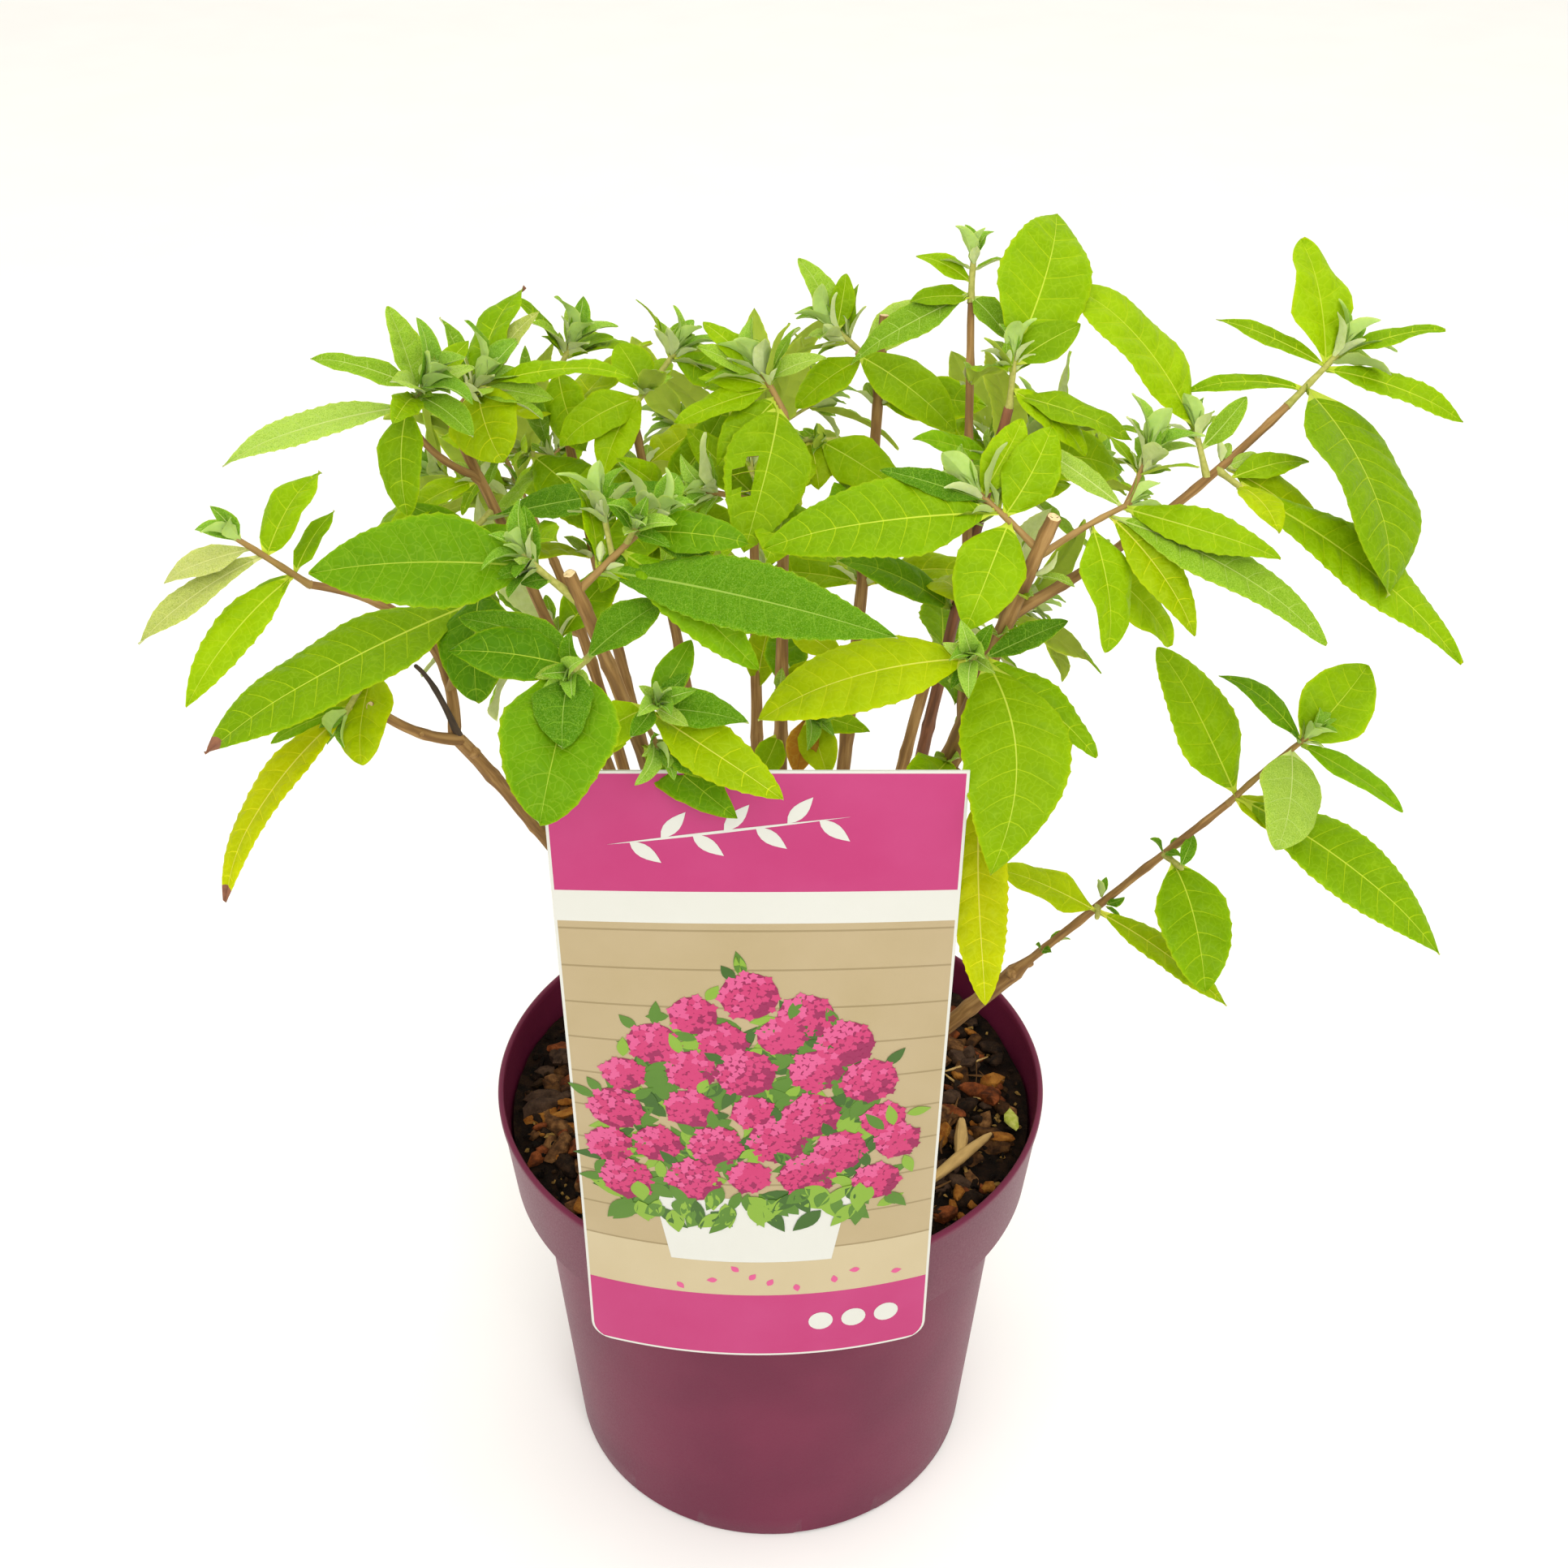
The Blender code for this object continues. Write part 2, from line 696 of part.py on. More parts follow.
def add_object(name, mesh, collection):
    item = bpy.data.objects.new(name, mesh)
    collection.objects.link(item)
    return item


def evaluated_mesh(item):
    bpy.context.view_layer.update()
    graph = bpy.context.evaluated_depsgraph_get()
    return bpy.data.meshes.new_from_object(item.evaluated_get(graph))


def settle(item):
    """Puts the result of an object's modifiers into its mesh."""
    mesh = evaluated_mesh(item)
    item.modifiers.clear()
    old = item.data
    item.data = mesh
    bpy.data.meshes.remove(old)


def shade_smooth(mesh, limit):
    for face in mesh.polygons:
        face.use_smooth = True
    mesh.set_sharp_from_angle(angle=math.radians(limit))


def linear(code):
    values = []
    for start in (0, 2, 4):
        share = int(code[start:start + 2], 16) / 255
        values.append(share / 12.92 if share <= 0.04045 else ((share + 0.055) / 1.055) ** 2.4)
    return (*values, 1.0)


def material(name, code, roughness):
    found = bpy.data.materials.get(name)
    if found:
        return found
    made = bpy.data.materials.new(name)
    made.use_nodes = True
    shader = made.node_tree.nodes["Principled BSDF"]
    shader.inputs["Base Color"].default_value = linear(code)
    shader.inputs["Roughness"].default_value = roughness
    shader.inputs["Metallic"].default_value = 0.0
    made.diffuse_color = linear(code)
    return made


# Pot, compost and label

def turned(name, profile, collection):
    """A profile of radius and height turned about the upright axis."""
    mesh = bpy.data.meshes.new(name)
    corners = [Vector((radius, 0, height)) * MM for radius, height in profile]
    pairs = [(index, (index + 1) % len(corners)) for index in range(len(corners))]
    edges = [pair for pair in pairs if max(profile[pair[0]][0], profile[pair[1]][0]) > 0.0]
    mesh.from_pydata(corners, edges, [])
    item = add_object(name, mesh, collection)
    screw = item.modifiers.new("turn", "SCREW")
    screw.axis = "Z"
    screw.angle = math.tau
    screw.steps = POT_STEPS
    screw.render_steps = POT_STEPS
    screw.use_merge_vertices = True
    screw.merge_threshold = 0.00005
    screw.use_normal_calculate = True
    settle(item)
    work = bmesh.new()
    work.from_mesh(item.data)
    bmesh.ops.recalc_face_normals(work, faces=work.faces)
    work.to_mesh(item.data)
    work.free()
    return item


def make_pot(collection):
    shoulder = POT_HEIGHT - COLLAR_DROP
    inner_body = BODY_TOP_RADIUS - WALL
    inner_foot = FOOT_RADIUS - WALL
    profile = [
        (RIM_RADIUS - 0.9, POT_HEIGHT),
        (RIM_RADIUS, POT_HEIGHT - 0.9),
        (RIM_RADIUS, POT_HEIGHT - 2.4),
        (RIM_RADIUS - 0.5, POT_HEIGHT - 3.0),
        (COLLAR_FOOT_RADIUS, shoulder + 1.5),
        (COLLAR_FOOT_RADIUS - 1.4, shoulder),
        (BODY_TOP_RADIUS, shoulder - 1.5),
        (FOOT_RADIUS + 0.4, 1.2),
        (FOOT_RADIUS - 0.8, 0.0),
        (0.0, 0.0),
        (0.0, FLOOR),
        (inner_foot, FLOOR),
        (inner_body, shoulder - 0.2),
        (COLLAR_FOOT_RADIUS - WALL, shoulder + 2.2),
        (RIM_RADIUS - 2.2, POT_HEIGHT - 3.0),
        (RIM_RADIUS - 1.9, POT_HEIGHT - 0.6),
    ]
    pot = turned("pot", profile, collection)
    pot.data.materials.append(material("pot_polypropylene", POT_COLOUR, 0.42))
    shade_smooth(pot.data, 40)
    return pot


def make_soil(collection):
    shoulder = POT_HEIGHT - COLLAR_DROP
    profile = [
        (0.0, SOIL_LEVEL),
        (SOIL_FLAT_RADIUS, SOIL_LEVEL),
        (62.0, SOIL_LEVEL),
        (76.0, SOIL_LEVEL),
        (COLLAR_FOOT_RADIUS - 0.6, SOIL_LEVEL - 1.5),
        (COLLAR_FOOT_RADIUS - WALL - 0.5, shoulder + 2.6),
        (BODY_TOP_RADIUS - WALL - 0.6, shoulder - 0.4),
        (FOOT_RADIUS - WALL - 0.5, FLOOR + GAP),
        (0.0, FLOOR + GAP),
    ]
    soil = turned("soil", profile, collection)
    rng = random.Random(SEED)
    for corner in soil.data.vertices:
        radius = math.hypot(corner.co.x, corner.co.y) / MM
        if corner.co.z / MM > SOIL_LEVEL - 1.0 and radius > SOIL_FLAT_RADIUS + 1:
            corner.co.z += rng.uniform(-SOIL_UNEVEN, SOIL_UNEVEN) * MM
    soil.data.materials.append(material("potting_compost", SOIL_COLOUR, 0.95))
    shade_smooth(soil.data, 60)
    return soil


def label_half_width(height):
    """Half of the label's width; the two lower corners are rounded."""
    share = (height - LABEL_FOOT) / (LABEL_TOP - LABEL_FOOT)
    half = LABEL_HALF_FOOT + (LABEL_HALF_TOP - LABEL_HALF_FOOT) * share
    rise = height - LABEL_FOOT
    if rise < LABEL_CORNER:
        half -= LABEL_CORNER - math.sqrt(LABEL_CORNER ** 2 - (LABEL_CORNER - rise) ** 2)
    return half


def label_bow(height):
    """How far the label's edges stand behind its middle at a height."""
    share = (height - POT_HEIGHT) / (LABEL_TOP - POT_HEIGHT)
    share = max(0.0, min(1.0, share))
    return LABEL_BOW * (1.0 - share * share * (3.0 - 2.0 * share))


def label_sheet(collection):
    """A sheet, flat along its top edge and bowed round the pot at its foot."""
    columns = 8
    curl = LABEL_FOOT + LABEL_CORNER
    heights = [LABEL_FOOT, LABEL_FOOT + 0.8, LABEL_FOOT + 2.4, curl]
    heights += [POT_HEIGHT + (LABEL_TOP - POT_HEIGHT) * step / 5 for step in range(6)]
    face = -(RIM_RADIUS + GAP + LABEL_THICK)
    corners = []
    for layer in (0.0, LABEL_THICK):
        for height in heights:
            half = label_half_width(height)
            for column in range(columns + 1):
                share = 2.0 * column / columns - 1.0
                back = face + layer + label_bow(height) * (share * half / LABEL_HALF_FOOT) ** 2
                corners.append(Vector((LABEL_CENTRE + share * half, back, height)))
    across = columns + 1
    sheet = across * len(heights)
    faces = []
    for row in range(len(heights) - 1):
        for column in range(columns):
            here = row * across + column
            faces.append((here, here + 1, here + 1 + across, here + across))
            back = here + sheet
            faces.append((back + across, back + 1 + across, back + 1, back))
    top = (len(heights) - 1) * across
    for column in range(columns):
        faces.append((column + sheet, column + 1 + sheet, column + 1, column))
        faces.append((top + column, top + column + 1, top + column + 1 + sheet, top + column + sheet))
    for row in range(len(heights) - 1):
        left = row * across
        right = left + columns
        faces.append((left, left + across, left + across + sheet, left + sheet))
        faces.append((right + sheet, right + across + sheet, right + across, right))
    return add_object("label", mesh_from("label", corners, faces), collection)


def label_tongue(collection):
    """A flat strip, bent over the rim, that carries the label."""
    face = -(RIM_RADIUS + GAP)
    over = POT_HEIGHT + GAP
    inside = -(RIM_RADIUS - 5.2)
    low = SOIL_LEVEL + 2.0
    outline = [
        (face - 0.2, over + 6.0),
        (face - 0.2, over),
        (inside - TONGUE_THICK * 0.2, over),
        (inside + 1.2, low),
        (inside + 1.2 + TONGUE_THICK, low),
        (inside + TONGUE_THICK, over + TONGUE_THICK),
        (face + TONGUE_THICK, over + TONGUE_THICK),
        (face + TONGUE_THICK, over + 6.0),
    ]
    curve = bpy.data.curves.new("tongue", "CURVE")
    curve.dimensions = "2D"
    curve.fill_mode = "BOTH"
    curve.extrude = TONGUE_WIDTH / 2 * MM
    spline = curve.splines.new("POLY")
    spline.points.add(len(outline) - 1)
    for point, (back, height) in zip(spline.points, outline):
        point.co = (back * MM, height * MM, 0, 1)
    spline.use_cyclic_u = True
    flat = bpy.data.objects.new("tongue", curve)
    collection.objects.link(flat)
    mesh = evaluated_mesh(flat)
    bpy.data.objects.remove(flat)
    turn = Matrix(((0, 0, 1, 0), (1, 0, 0, 0), (0, 1, 0, 0), (0, 0, 0, 1)))
    mesh.transform(Matrix.Translation((LABEL_CENTRE * MM, 0, 0)) @ turn)
    work = bmesh.new()
    work.from_mesh(mesh)
    bmesh.ops.remove_doubles(work, verts=work.verts, dist=1e-6)
    bmesh.ops.recalc_face_normals(work, faces=work.faces)
    work.to_mesh(mesh)
    work.free()
    return add_object("tongue", mesh, collection)


def make_label(collection, cutters):
    label = label_sheet(collection)
    tongue = label_tongue(cutters)
    join = label.modifiers.new("join", "BOOLEAN")
    join.operation = "UNION"
    join.solver = "EXACT"
    join.object = tongue
    settle(label)
    bpy.data.objects.remove(tongue)
    label.data.materials.append(material("printed_label_card", LABEL_COLOUR, 0.35))
    shade_smooth(label.data, 30)
    return label


# Limbs and foliage

def make_limb(name, path, low, high, collection):
    """A tapering round limb with flat ends; a stem flares at its foot."""
    curve = bpy.data.curves.new(name, "CURVE")
    curve.dimensions = "3D"
    curve.fill_mode = "FULL"
    curve.bevel_depth = MM
    curve.bevel_resolution = 2 if low > 2.2 else 1
    curve.use_fill_caps = True
    spline = curve.splines.new("POLY")
    points = list(path)
    if name in STEMS:
        points.insert(1, path[0].lerp(path[1], 0.22))
    spline.points.add(len(points) - 1)
    whole = (path[-1] - path[0]).length
    for point, place in zip(spline.points, points):
        point.co = (*(place * MM), 1)
        point.radius = radius_at(low, high, (place - path[0]).length / whole)
    if name in STEMS:
        spline.points[0].radius *= 1.4
    tube = bpy.data.objects.new(name, curve)
    collection.objects.link(tube)
    mesh = evaluated_mesh(tube)
    bpy.data.objects.remove(tube)
    work = bmesh.new()
    work.from_mesh(mesh)
    bmesh.ops.remove_doubles(work, verts=work.verts, dist=1e-6)
    bmesh.ops.recalc_face_normals(work, faces=work.faces)
    if name in STEMS:
        level = (SOIL_LEVEL + GAP) * MM
        for corner in work.verts:
            if corner.co.z < level + 4 * MM:
                corner.co.z = level
    work.to_mesh(mesh)
    work.free()
    mesh.name = name
    limb = add_object(name, mesh, collection)
    code = RED_BARK_COLOUR if name == "stem_red" else BARK_COLOUR
    limb.data.materials.append(material("bark_" + code.lower(), code, 0.8))
    shade_smooth(limb.data, 50)
    return limb


def solid_tree(item):
    corners = [corner.co / MM for corner in item.data.vertices]
    faces = [tuple(face.vertices) for face in item.data.polygons]
    return BVHTree.FromPolygons(corners, faces)


def main_body(mesh):
    """Keeps the largest closed piece: sealed hollows and loose scraps go."""
    work = bmesh.new()
    work.from_mesh(mesh)
    bmesh.ops.remove_doubles(work, verts=work.verts, dist=1e-6)
    left = set(work.faces)
    islands = []
    while left:
        stack = [left.pop()]
        island = []
        while stack:
            face = stack.pop()
            island.append(face)
            for edge in face.edges:
                for near in edge.link_faces:
                    if near in left:
                        left.remove(near)
                        stack.append(near)
        islands.append(island)
    islands.sort(key=lambda island: sum(face.calc_area() for face in island))
    for island in islands[:-1]:
        bmesh.ops.delete(work, geom=island, context="FACES")
    bmesh.ops.triangulate(work, faces=work.faces)
    closed = all(len(edge.link_faces) == 2 for edge in work.edges)
    work.to_mesh(mesh)
    work.free()
    return closed


def fused(name, solids, collection):
    """One Boolean union of all the solids of a shoot."""
    pieces = bpy.data.collections.new(name + "_pieces")
    bpy.context.scene.collection.children.link(pieces)
    body = add_object(name, mesh_from(name, *solids[0]), collection)
    for count, solid in enumerate(solids[1:]):
        add_object(f"piece_{count}", mesh_from("piece", *solid), pieces)
    if len(solids) > 1:
        join = body.modifiers.new("join", "BOOLEAN")
        join.operation = "UNION"
        join.operand_type = "COLLECTION"
        join.collection = pieces
        join.solver = "MANIFOLD"
        settle(body)
    for piece in list(pieces.objects):
        mesh = piece.data
        bpy.data.objects.remove(piece)
        bpy.data.meshes.remove(mesh)
    bpy.data.collections.remove(pieces)
    return body, main_body(body.data)


def fused_shoot(name, solids, collection):
    """Tries small shifts of the leaves, then fewer leaves, until the body closes."""
    rng = random.Random(SEED)
    for attempt in range(12):
        count = len(solids) - max(0, attempt - 5)
        shifted = [solids[0]]
        for corners, faces in solids[1:count]:
            shift = Vector((rng.uniform(-1, 1), rng.uniform(-1, 1), rng.uniform(-1, 1))) * 0.04 * attempt
            shifted.append(([corner + shift for corner in corners], faces))
        body, closed = fused(name, shifted, collection)
        if closed:
            return body
        mesh = body.data
        bpy.data.objects.remove(body)
        bpy.data.meshes.remove(mesh)
    raise ValueError(name + " doesn't close")


def cad_tuft_pairs(tuft):
    return 3 if tuft > 18 else 2


def chosen_solids(limbs, blocked):
    """Solids of each shoot; every piece keeps clear of all that is not its own."""
    solids = {}
    own = {}
    waiting = []
    for name in SHOOTS:
        twigs, leaves = grow_shoot(name, limbs, cad_tuft_pairs)
        solids[name] = []
        own[name] = []
        for twig in twigs:
            if solids[name] and is_blocked(name, tree_of(twig_solid(twig, GAP)), own, blocked):
                continue
            solids[name].append(twig_solid(twig))
            own[name].append(tree_of(solids[name][-1]))
        waiting += [(item["length"], count, name, item) for count, item in enumerate(leaves)]
    waiting.sort(key=lambda entry: (-entry[0], entry[2], entry[1]))
    for _, _, name, item in waiting:
        if is_blocked(name, tree_of(leaf_solid(item, GAP)), own, blocked):
            continue
        solids[name].append(leaf_solid(item))
        own[name].append(tree_of(solids[name][-1]))
    return solids


def is_blocked(name, tree, own, blocked):
    if touches(tree, blocked):
        return True
    return any(touches(tree, trees) for other, trees in own.items() if other != name)


def make_shoots(limbs, collection, blocked):
    for name, solids in chosen_solids(limbs, blocked).items():
        body = fused_shoot(name, solids, collection)
        kinds = [row[6] for row in SHOOTS[name]["leaves"]] or ["green"]
        kind = max(sorted(set(kinds)), key=kinds.count)
        body.data.materials.clear()
        body.data.materials.append(material("foliage_" + kind, LEAF_COLOURS[kind], 0.6))


def main():
    for item in list(bpy.data.objects):
        bpy.data.objects.remove(item)
    plant = new_collection("butterfly_bush_in_pot")
    cutters = new_collection("cutters")
    pot = make_pot(plant)
    soil = make_soil(plant)
    label = make_label(plant, cutters)
    bpy.data.collections.remove(cutters)
    limbs = all_limbs()
    blocked = [solid_tree(pot), solid_tree(soil), solid_tree(label)]
    for name, (path, low, high) in limbs.items():
        blocked.append(solid_tree(make_limb(name, path, low, high, plant)))
    make_shoots(limbs, plant, blocked)


main()
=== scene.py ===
"""Looks of a young butterfly bush in its nursery pot: leaves, bark, compost, pot and label.

Sizes are in millimetres and become metres where a mesh is made.  The growth rule and its
tables repeat the model's own, so that every twig and leaf grows where its solid stands.
"""

import json
import math
import random

import bmesh
import bpy
import numpy as np
from mathutils import Matrix, Vector, noise
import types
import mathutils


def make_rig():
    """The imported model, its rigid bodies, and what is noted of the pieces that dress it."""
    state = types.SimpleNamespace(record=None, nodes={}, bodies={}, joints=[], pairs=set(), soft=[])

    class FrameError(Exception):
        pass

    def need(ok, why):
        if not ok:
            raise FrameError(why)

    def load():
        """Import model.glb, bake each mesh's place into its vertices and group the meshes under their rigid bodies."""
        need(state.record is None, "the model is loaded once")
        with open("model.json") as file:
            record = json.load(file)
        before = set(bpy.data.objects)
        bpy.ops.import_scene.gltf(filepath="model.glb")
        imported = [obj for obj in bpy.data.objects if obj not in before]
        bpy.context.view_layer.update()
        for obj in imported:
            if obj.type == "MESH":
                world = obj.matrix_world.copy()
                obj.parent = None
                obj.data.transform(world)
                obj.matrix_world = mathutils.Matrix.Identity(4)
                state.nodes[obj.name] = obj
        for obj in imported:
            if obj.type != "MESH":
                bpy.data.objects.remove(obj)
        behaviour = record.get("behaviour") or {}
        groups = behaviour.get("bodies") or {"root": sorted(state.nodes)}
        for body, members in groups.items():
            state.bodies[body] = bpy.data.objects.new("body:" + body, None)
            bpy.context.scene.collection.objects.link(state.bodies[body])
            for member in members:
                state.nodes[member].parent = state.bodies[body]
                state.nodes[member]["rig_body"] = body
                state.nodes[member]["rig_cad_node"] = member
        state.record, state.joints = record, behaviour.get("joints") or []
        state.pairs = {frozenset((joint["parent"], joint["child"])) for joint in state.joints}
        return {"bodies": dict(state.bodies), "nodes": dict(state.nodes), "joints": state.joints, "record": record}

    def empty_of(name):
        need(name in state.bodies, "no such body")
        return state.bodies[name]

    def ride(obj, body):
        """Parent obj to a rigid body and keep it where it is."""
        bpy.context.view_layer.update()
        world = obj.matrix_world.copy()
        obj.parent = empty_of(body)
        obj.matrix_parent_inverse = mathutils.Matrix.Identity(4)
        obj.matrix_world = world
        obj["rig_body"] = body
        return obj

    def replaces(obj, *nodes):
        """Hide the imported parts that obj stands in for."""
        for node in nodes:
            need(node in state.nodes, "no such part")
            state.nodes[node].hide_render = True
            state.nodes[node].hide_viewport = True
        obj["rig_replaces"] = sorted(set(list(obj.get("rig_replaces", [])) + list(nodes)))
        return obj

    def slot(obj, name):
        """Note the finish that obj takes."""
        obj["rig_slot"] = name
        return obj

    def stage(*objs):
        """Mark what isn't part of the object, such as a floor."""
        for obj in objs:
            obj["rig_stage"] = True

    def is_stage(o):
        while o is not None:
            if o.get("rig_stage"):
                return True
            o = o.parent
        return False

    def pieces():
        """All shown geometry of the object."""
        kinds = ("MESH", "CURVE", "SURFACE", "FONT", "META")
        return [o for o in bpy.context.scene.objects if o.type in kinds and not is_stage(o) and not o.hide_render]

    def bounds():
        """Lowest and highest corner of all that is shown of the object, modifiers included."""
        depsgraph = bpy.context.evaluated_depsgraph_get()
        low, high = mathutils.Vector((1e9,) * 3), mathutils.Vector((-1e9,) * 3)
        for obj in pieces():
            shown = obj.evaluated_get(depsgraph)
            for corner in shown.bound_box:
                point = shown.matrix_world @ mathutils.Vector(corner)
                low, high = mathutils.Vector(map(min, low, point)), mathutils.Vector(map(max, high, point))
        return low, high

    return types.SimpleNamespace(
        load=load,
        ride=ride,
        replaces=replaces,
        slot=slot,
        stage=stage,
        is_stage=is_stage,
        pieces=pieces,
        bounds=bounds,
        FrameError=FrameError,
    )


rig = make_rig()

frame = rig.load()
cad_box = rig.bounds()

MM = 0.001
SEED = 41
SIZE_FILE = "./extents.json"

# Camera: distance from the middle of the pot's rim, angle down to it and its own tilt
PHOTO_WIDTH = 1932
FOCAL_PIXELS = 2650.0
IMAGE_CENTRE_X = 949.4
SENSOR_WIDTH = 36.0
RIM_DISTANCE = 760.0
RIM_ANGLE = 42.1
CAMERA_TILT = 34.5

# Pot
POT_STEPS = 144
POT_HEIGHT = 160.0
RIM_RADIUS = 95.0
COLLAR_FOOT_RADIUS = 91.2
COLLAR_DROP = 35.5
BODY_TOP_RADIUS = 83.0
FOOT_RADIUS = 73.0
WALL = 1.5
FLOOR = 3.0
LIP_ROUND = 1.1
FOOT_PADS = 7
PAD_SHARE = 0.53
PAD_TURN = -6.2
PAD_HEIGHT = 1.3
DRAIN_HOLES = 8

# Compost
SOIL_LEVEL = 142.0
SOIL_UNEVEN = 1.4
SOIL_HEAP = 3.6
CHIP_COUNT = 900
CRUMB_COUNT = 2200
FIBRE_COUNT = 130
FORKED_CHIP = (((54, -44, 150.5), (76, -22, 151.0)), ((64, -33, 151.0), (66, -14, 150.6)))
LEAF_SCRAP = (84.0, -12.0, 148.5)

# Label
GAP = 0.3
LABEL_TOP = 352.0
LABEL_FOOT = 124.0
LABEL_HALF_TOP = 56.5
LABEL_HALF_FOOT = 54.0
LABEL_CENTRE = -4.0
LABEL_THICK = 0.6
LABEL_BOW = 9.0
LABEL_CORNER = 6.0
LABEL_EDGE = 0.8
TONGUE_WIDTH = 26.0
TONGUE_THICK = 0.8
HEADER_FOOT = 312.0
STRIP_FOOT = 301.0
SILL_TOP = 172.0
BAND_TOP = 152.0
BOARD_HEIGHT = 14.0
LABEL_INKS = {
    "magenta": "A82E66",
    "white": "C4C4BC",
    "cream": "B2A381",
    "board": "A3926E",
    "groove": "8A7A56",
    "pink": "B23062",
    "light_pink": "C04C7C",
    "deep_pink": "841A48",
    "leaf": "4A7020",
    "dark_leaf": "34561A",
    "light_leaf": "76982E",
}
LEAF_INKS = ("leaf", "leaf", "dark_leaf", "light_leaf")

# Stems that stand on the compost:
# foot x, y, tip x, y, z, sideways bow x, y, z, radius at the foot and the tip
STEMS = {
    "stem_left": (-18, -6, -88, -54, 334, 5, 3, 3, 3.0, 2.0),
    "stem_front": (-8, -26, -50, -94, 410, 6, -4, 8, 3.2, 2.0),
    "stem_left_rear": (-24, 8, -93, 13, 401, 12, -12, 0, 2.6, 1.4),
    "stem_rear_left": (-14, 22, -67, 58, 394, -4, 0, 10, 2.6, 1.3),
    "stem_rear_mid": (-3, 30, -42, 40, 392, -2, 0, 10, 2.4, 1.2),
    "stem_centre": (2, 4, 4, 10, 404, 0, -16, 0, 2.8, 1.5),
    "stem_centre_rear": (12, 20, 34, 45, 421, 2, -6, 0, 2.8, 1.5),
    "stem_trunk": (22, -18, 74, -62, 409, -4, 0, 8, 4.6, 2.3),
    "stem_red": (30, 8, 66, -14, 418, -3, -6, 6, 2.6, 1.4),
    "stem_low_right": (34, 9, 140, -25, 292, -5, 7, -12, 3.4, 1.5),
    "stem_back_left": (-26, 24, -78, 92, 322, -2, 4, 26, 2.6, 1.4),
    "stem_back": (-4, 42, -6, 112, 330, 0, 4, 28, 2.6, 1.4),
    "stem_back_right": (24, 32, 72, 96, 326, 2, 4, 26, 2.6, 1.4),
}

# Boughs: parent, place along it, tip x, y, z, bow x, y, z, radius low and high
BOUGHS = {
    "bough_left_cut": ("stem_left", 1.0, -109, -70, 356, 0, 0, -3, 1.6, 1.3),
    "bough_left_dead": ("stem_left", 0.98, -97, -61, 363, 0, 0, 3, 0.9, 0.6),
    "bough_left": ("stem_left", 0.95, -124, -55, 385, 10, 7, 5, 1.7, 1.1),
    "bough_left_rear": ("stem_left_rear", 0.93, -103, -5, 412, -2, 0, -2, 1.1, 0.9),
    "bough_tall": ("stem_trunk", 0.7, 57, 17, 436, 0, 0, 0, 1.8, 1.0),
    "bough_right": ("stem_trunk", 0.86, 146, -2, 413, 0, 0, -5, 1.6, 1.1),
}

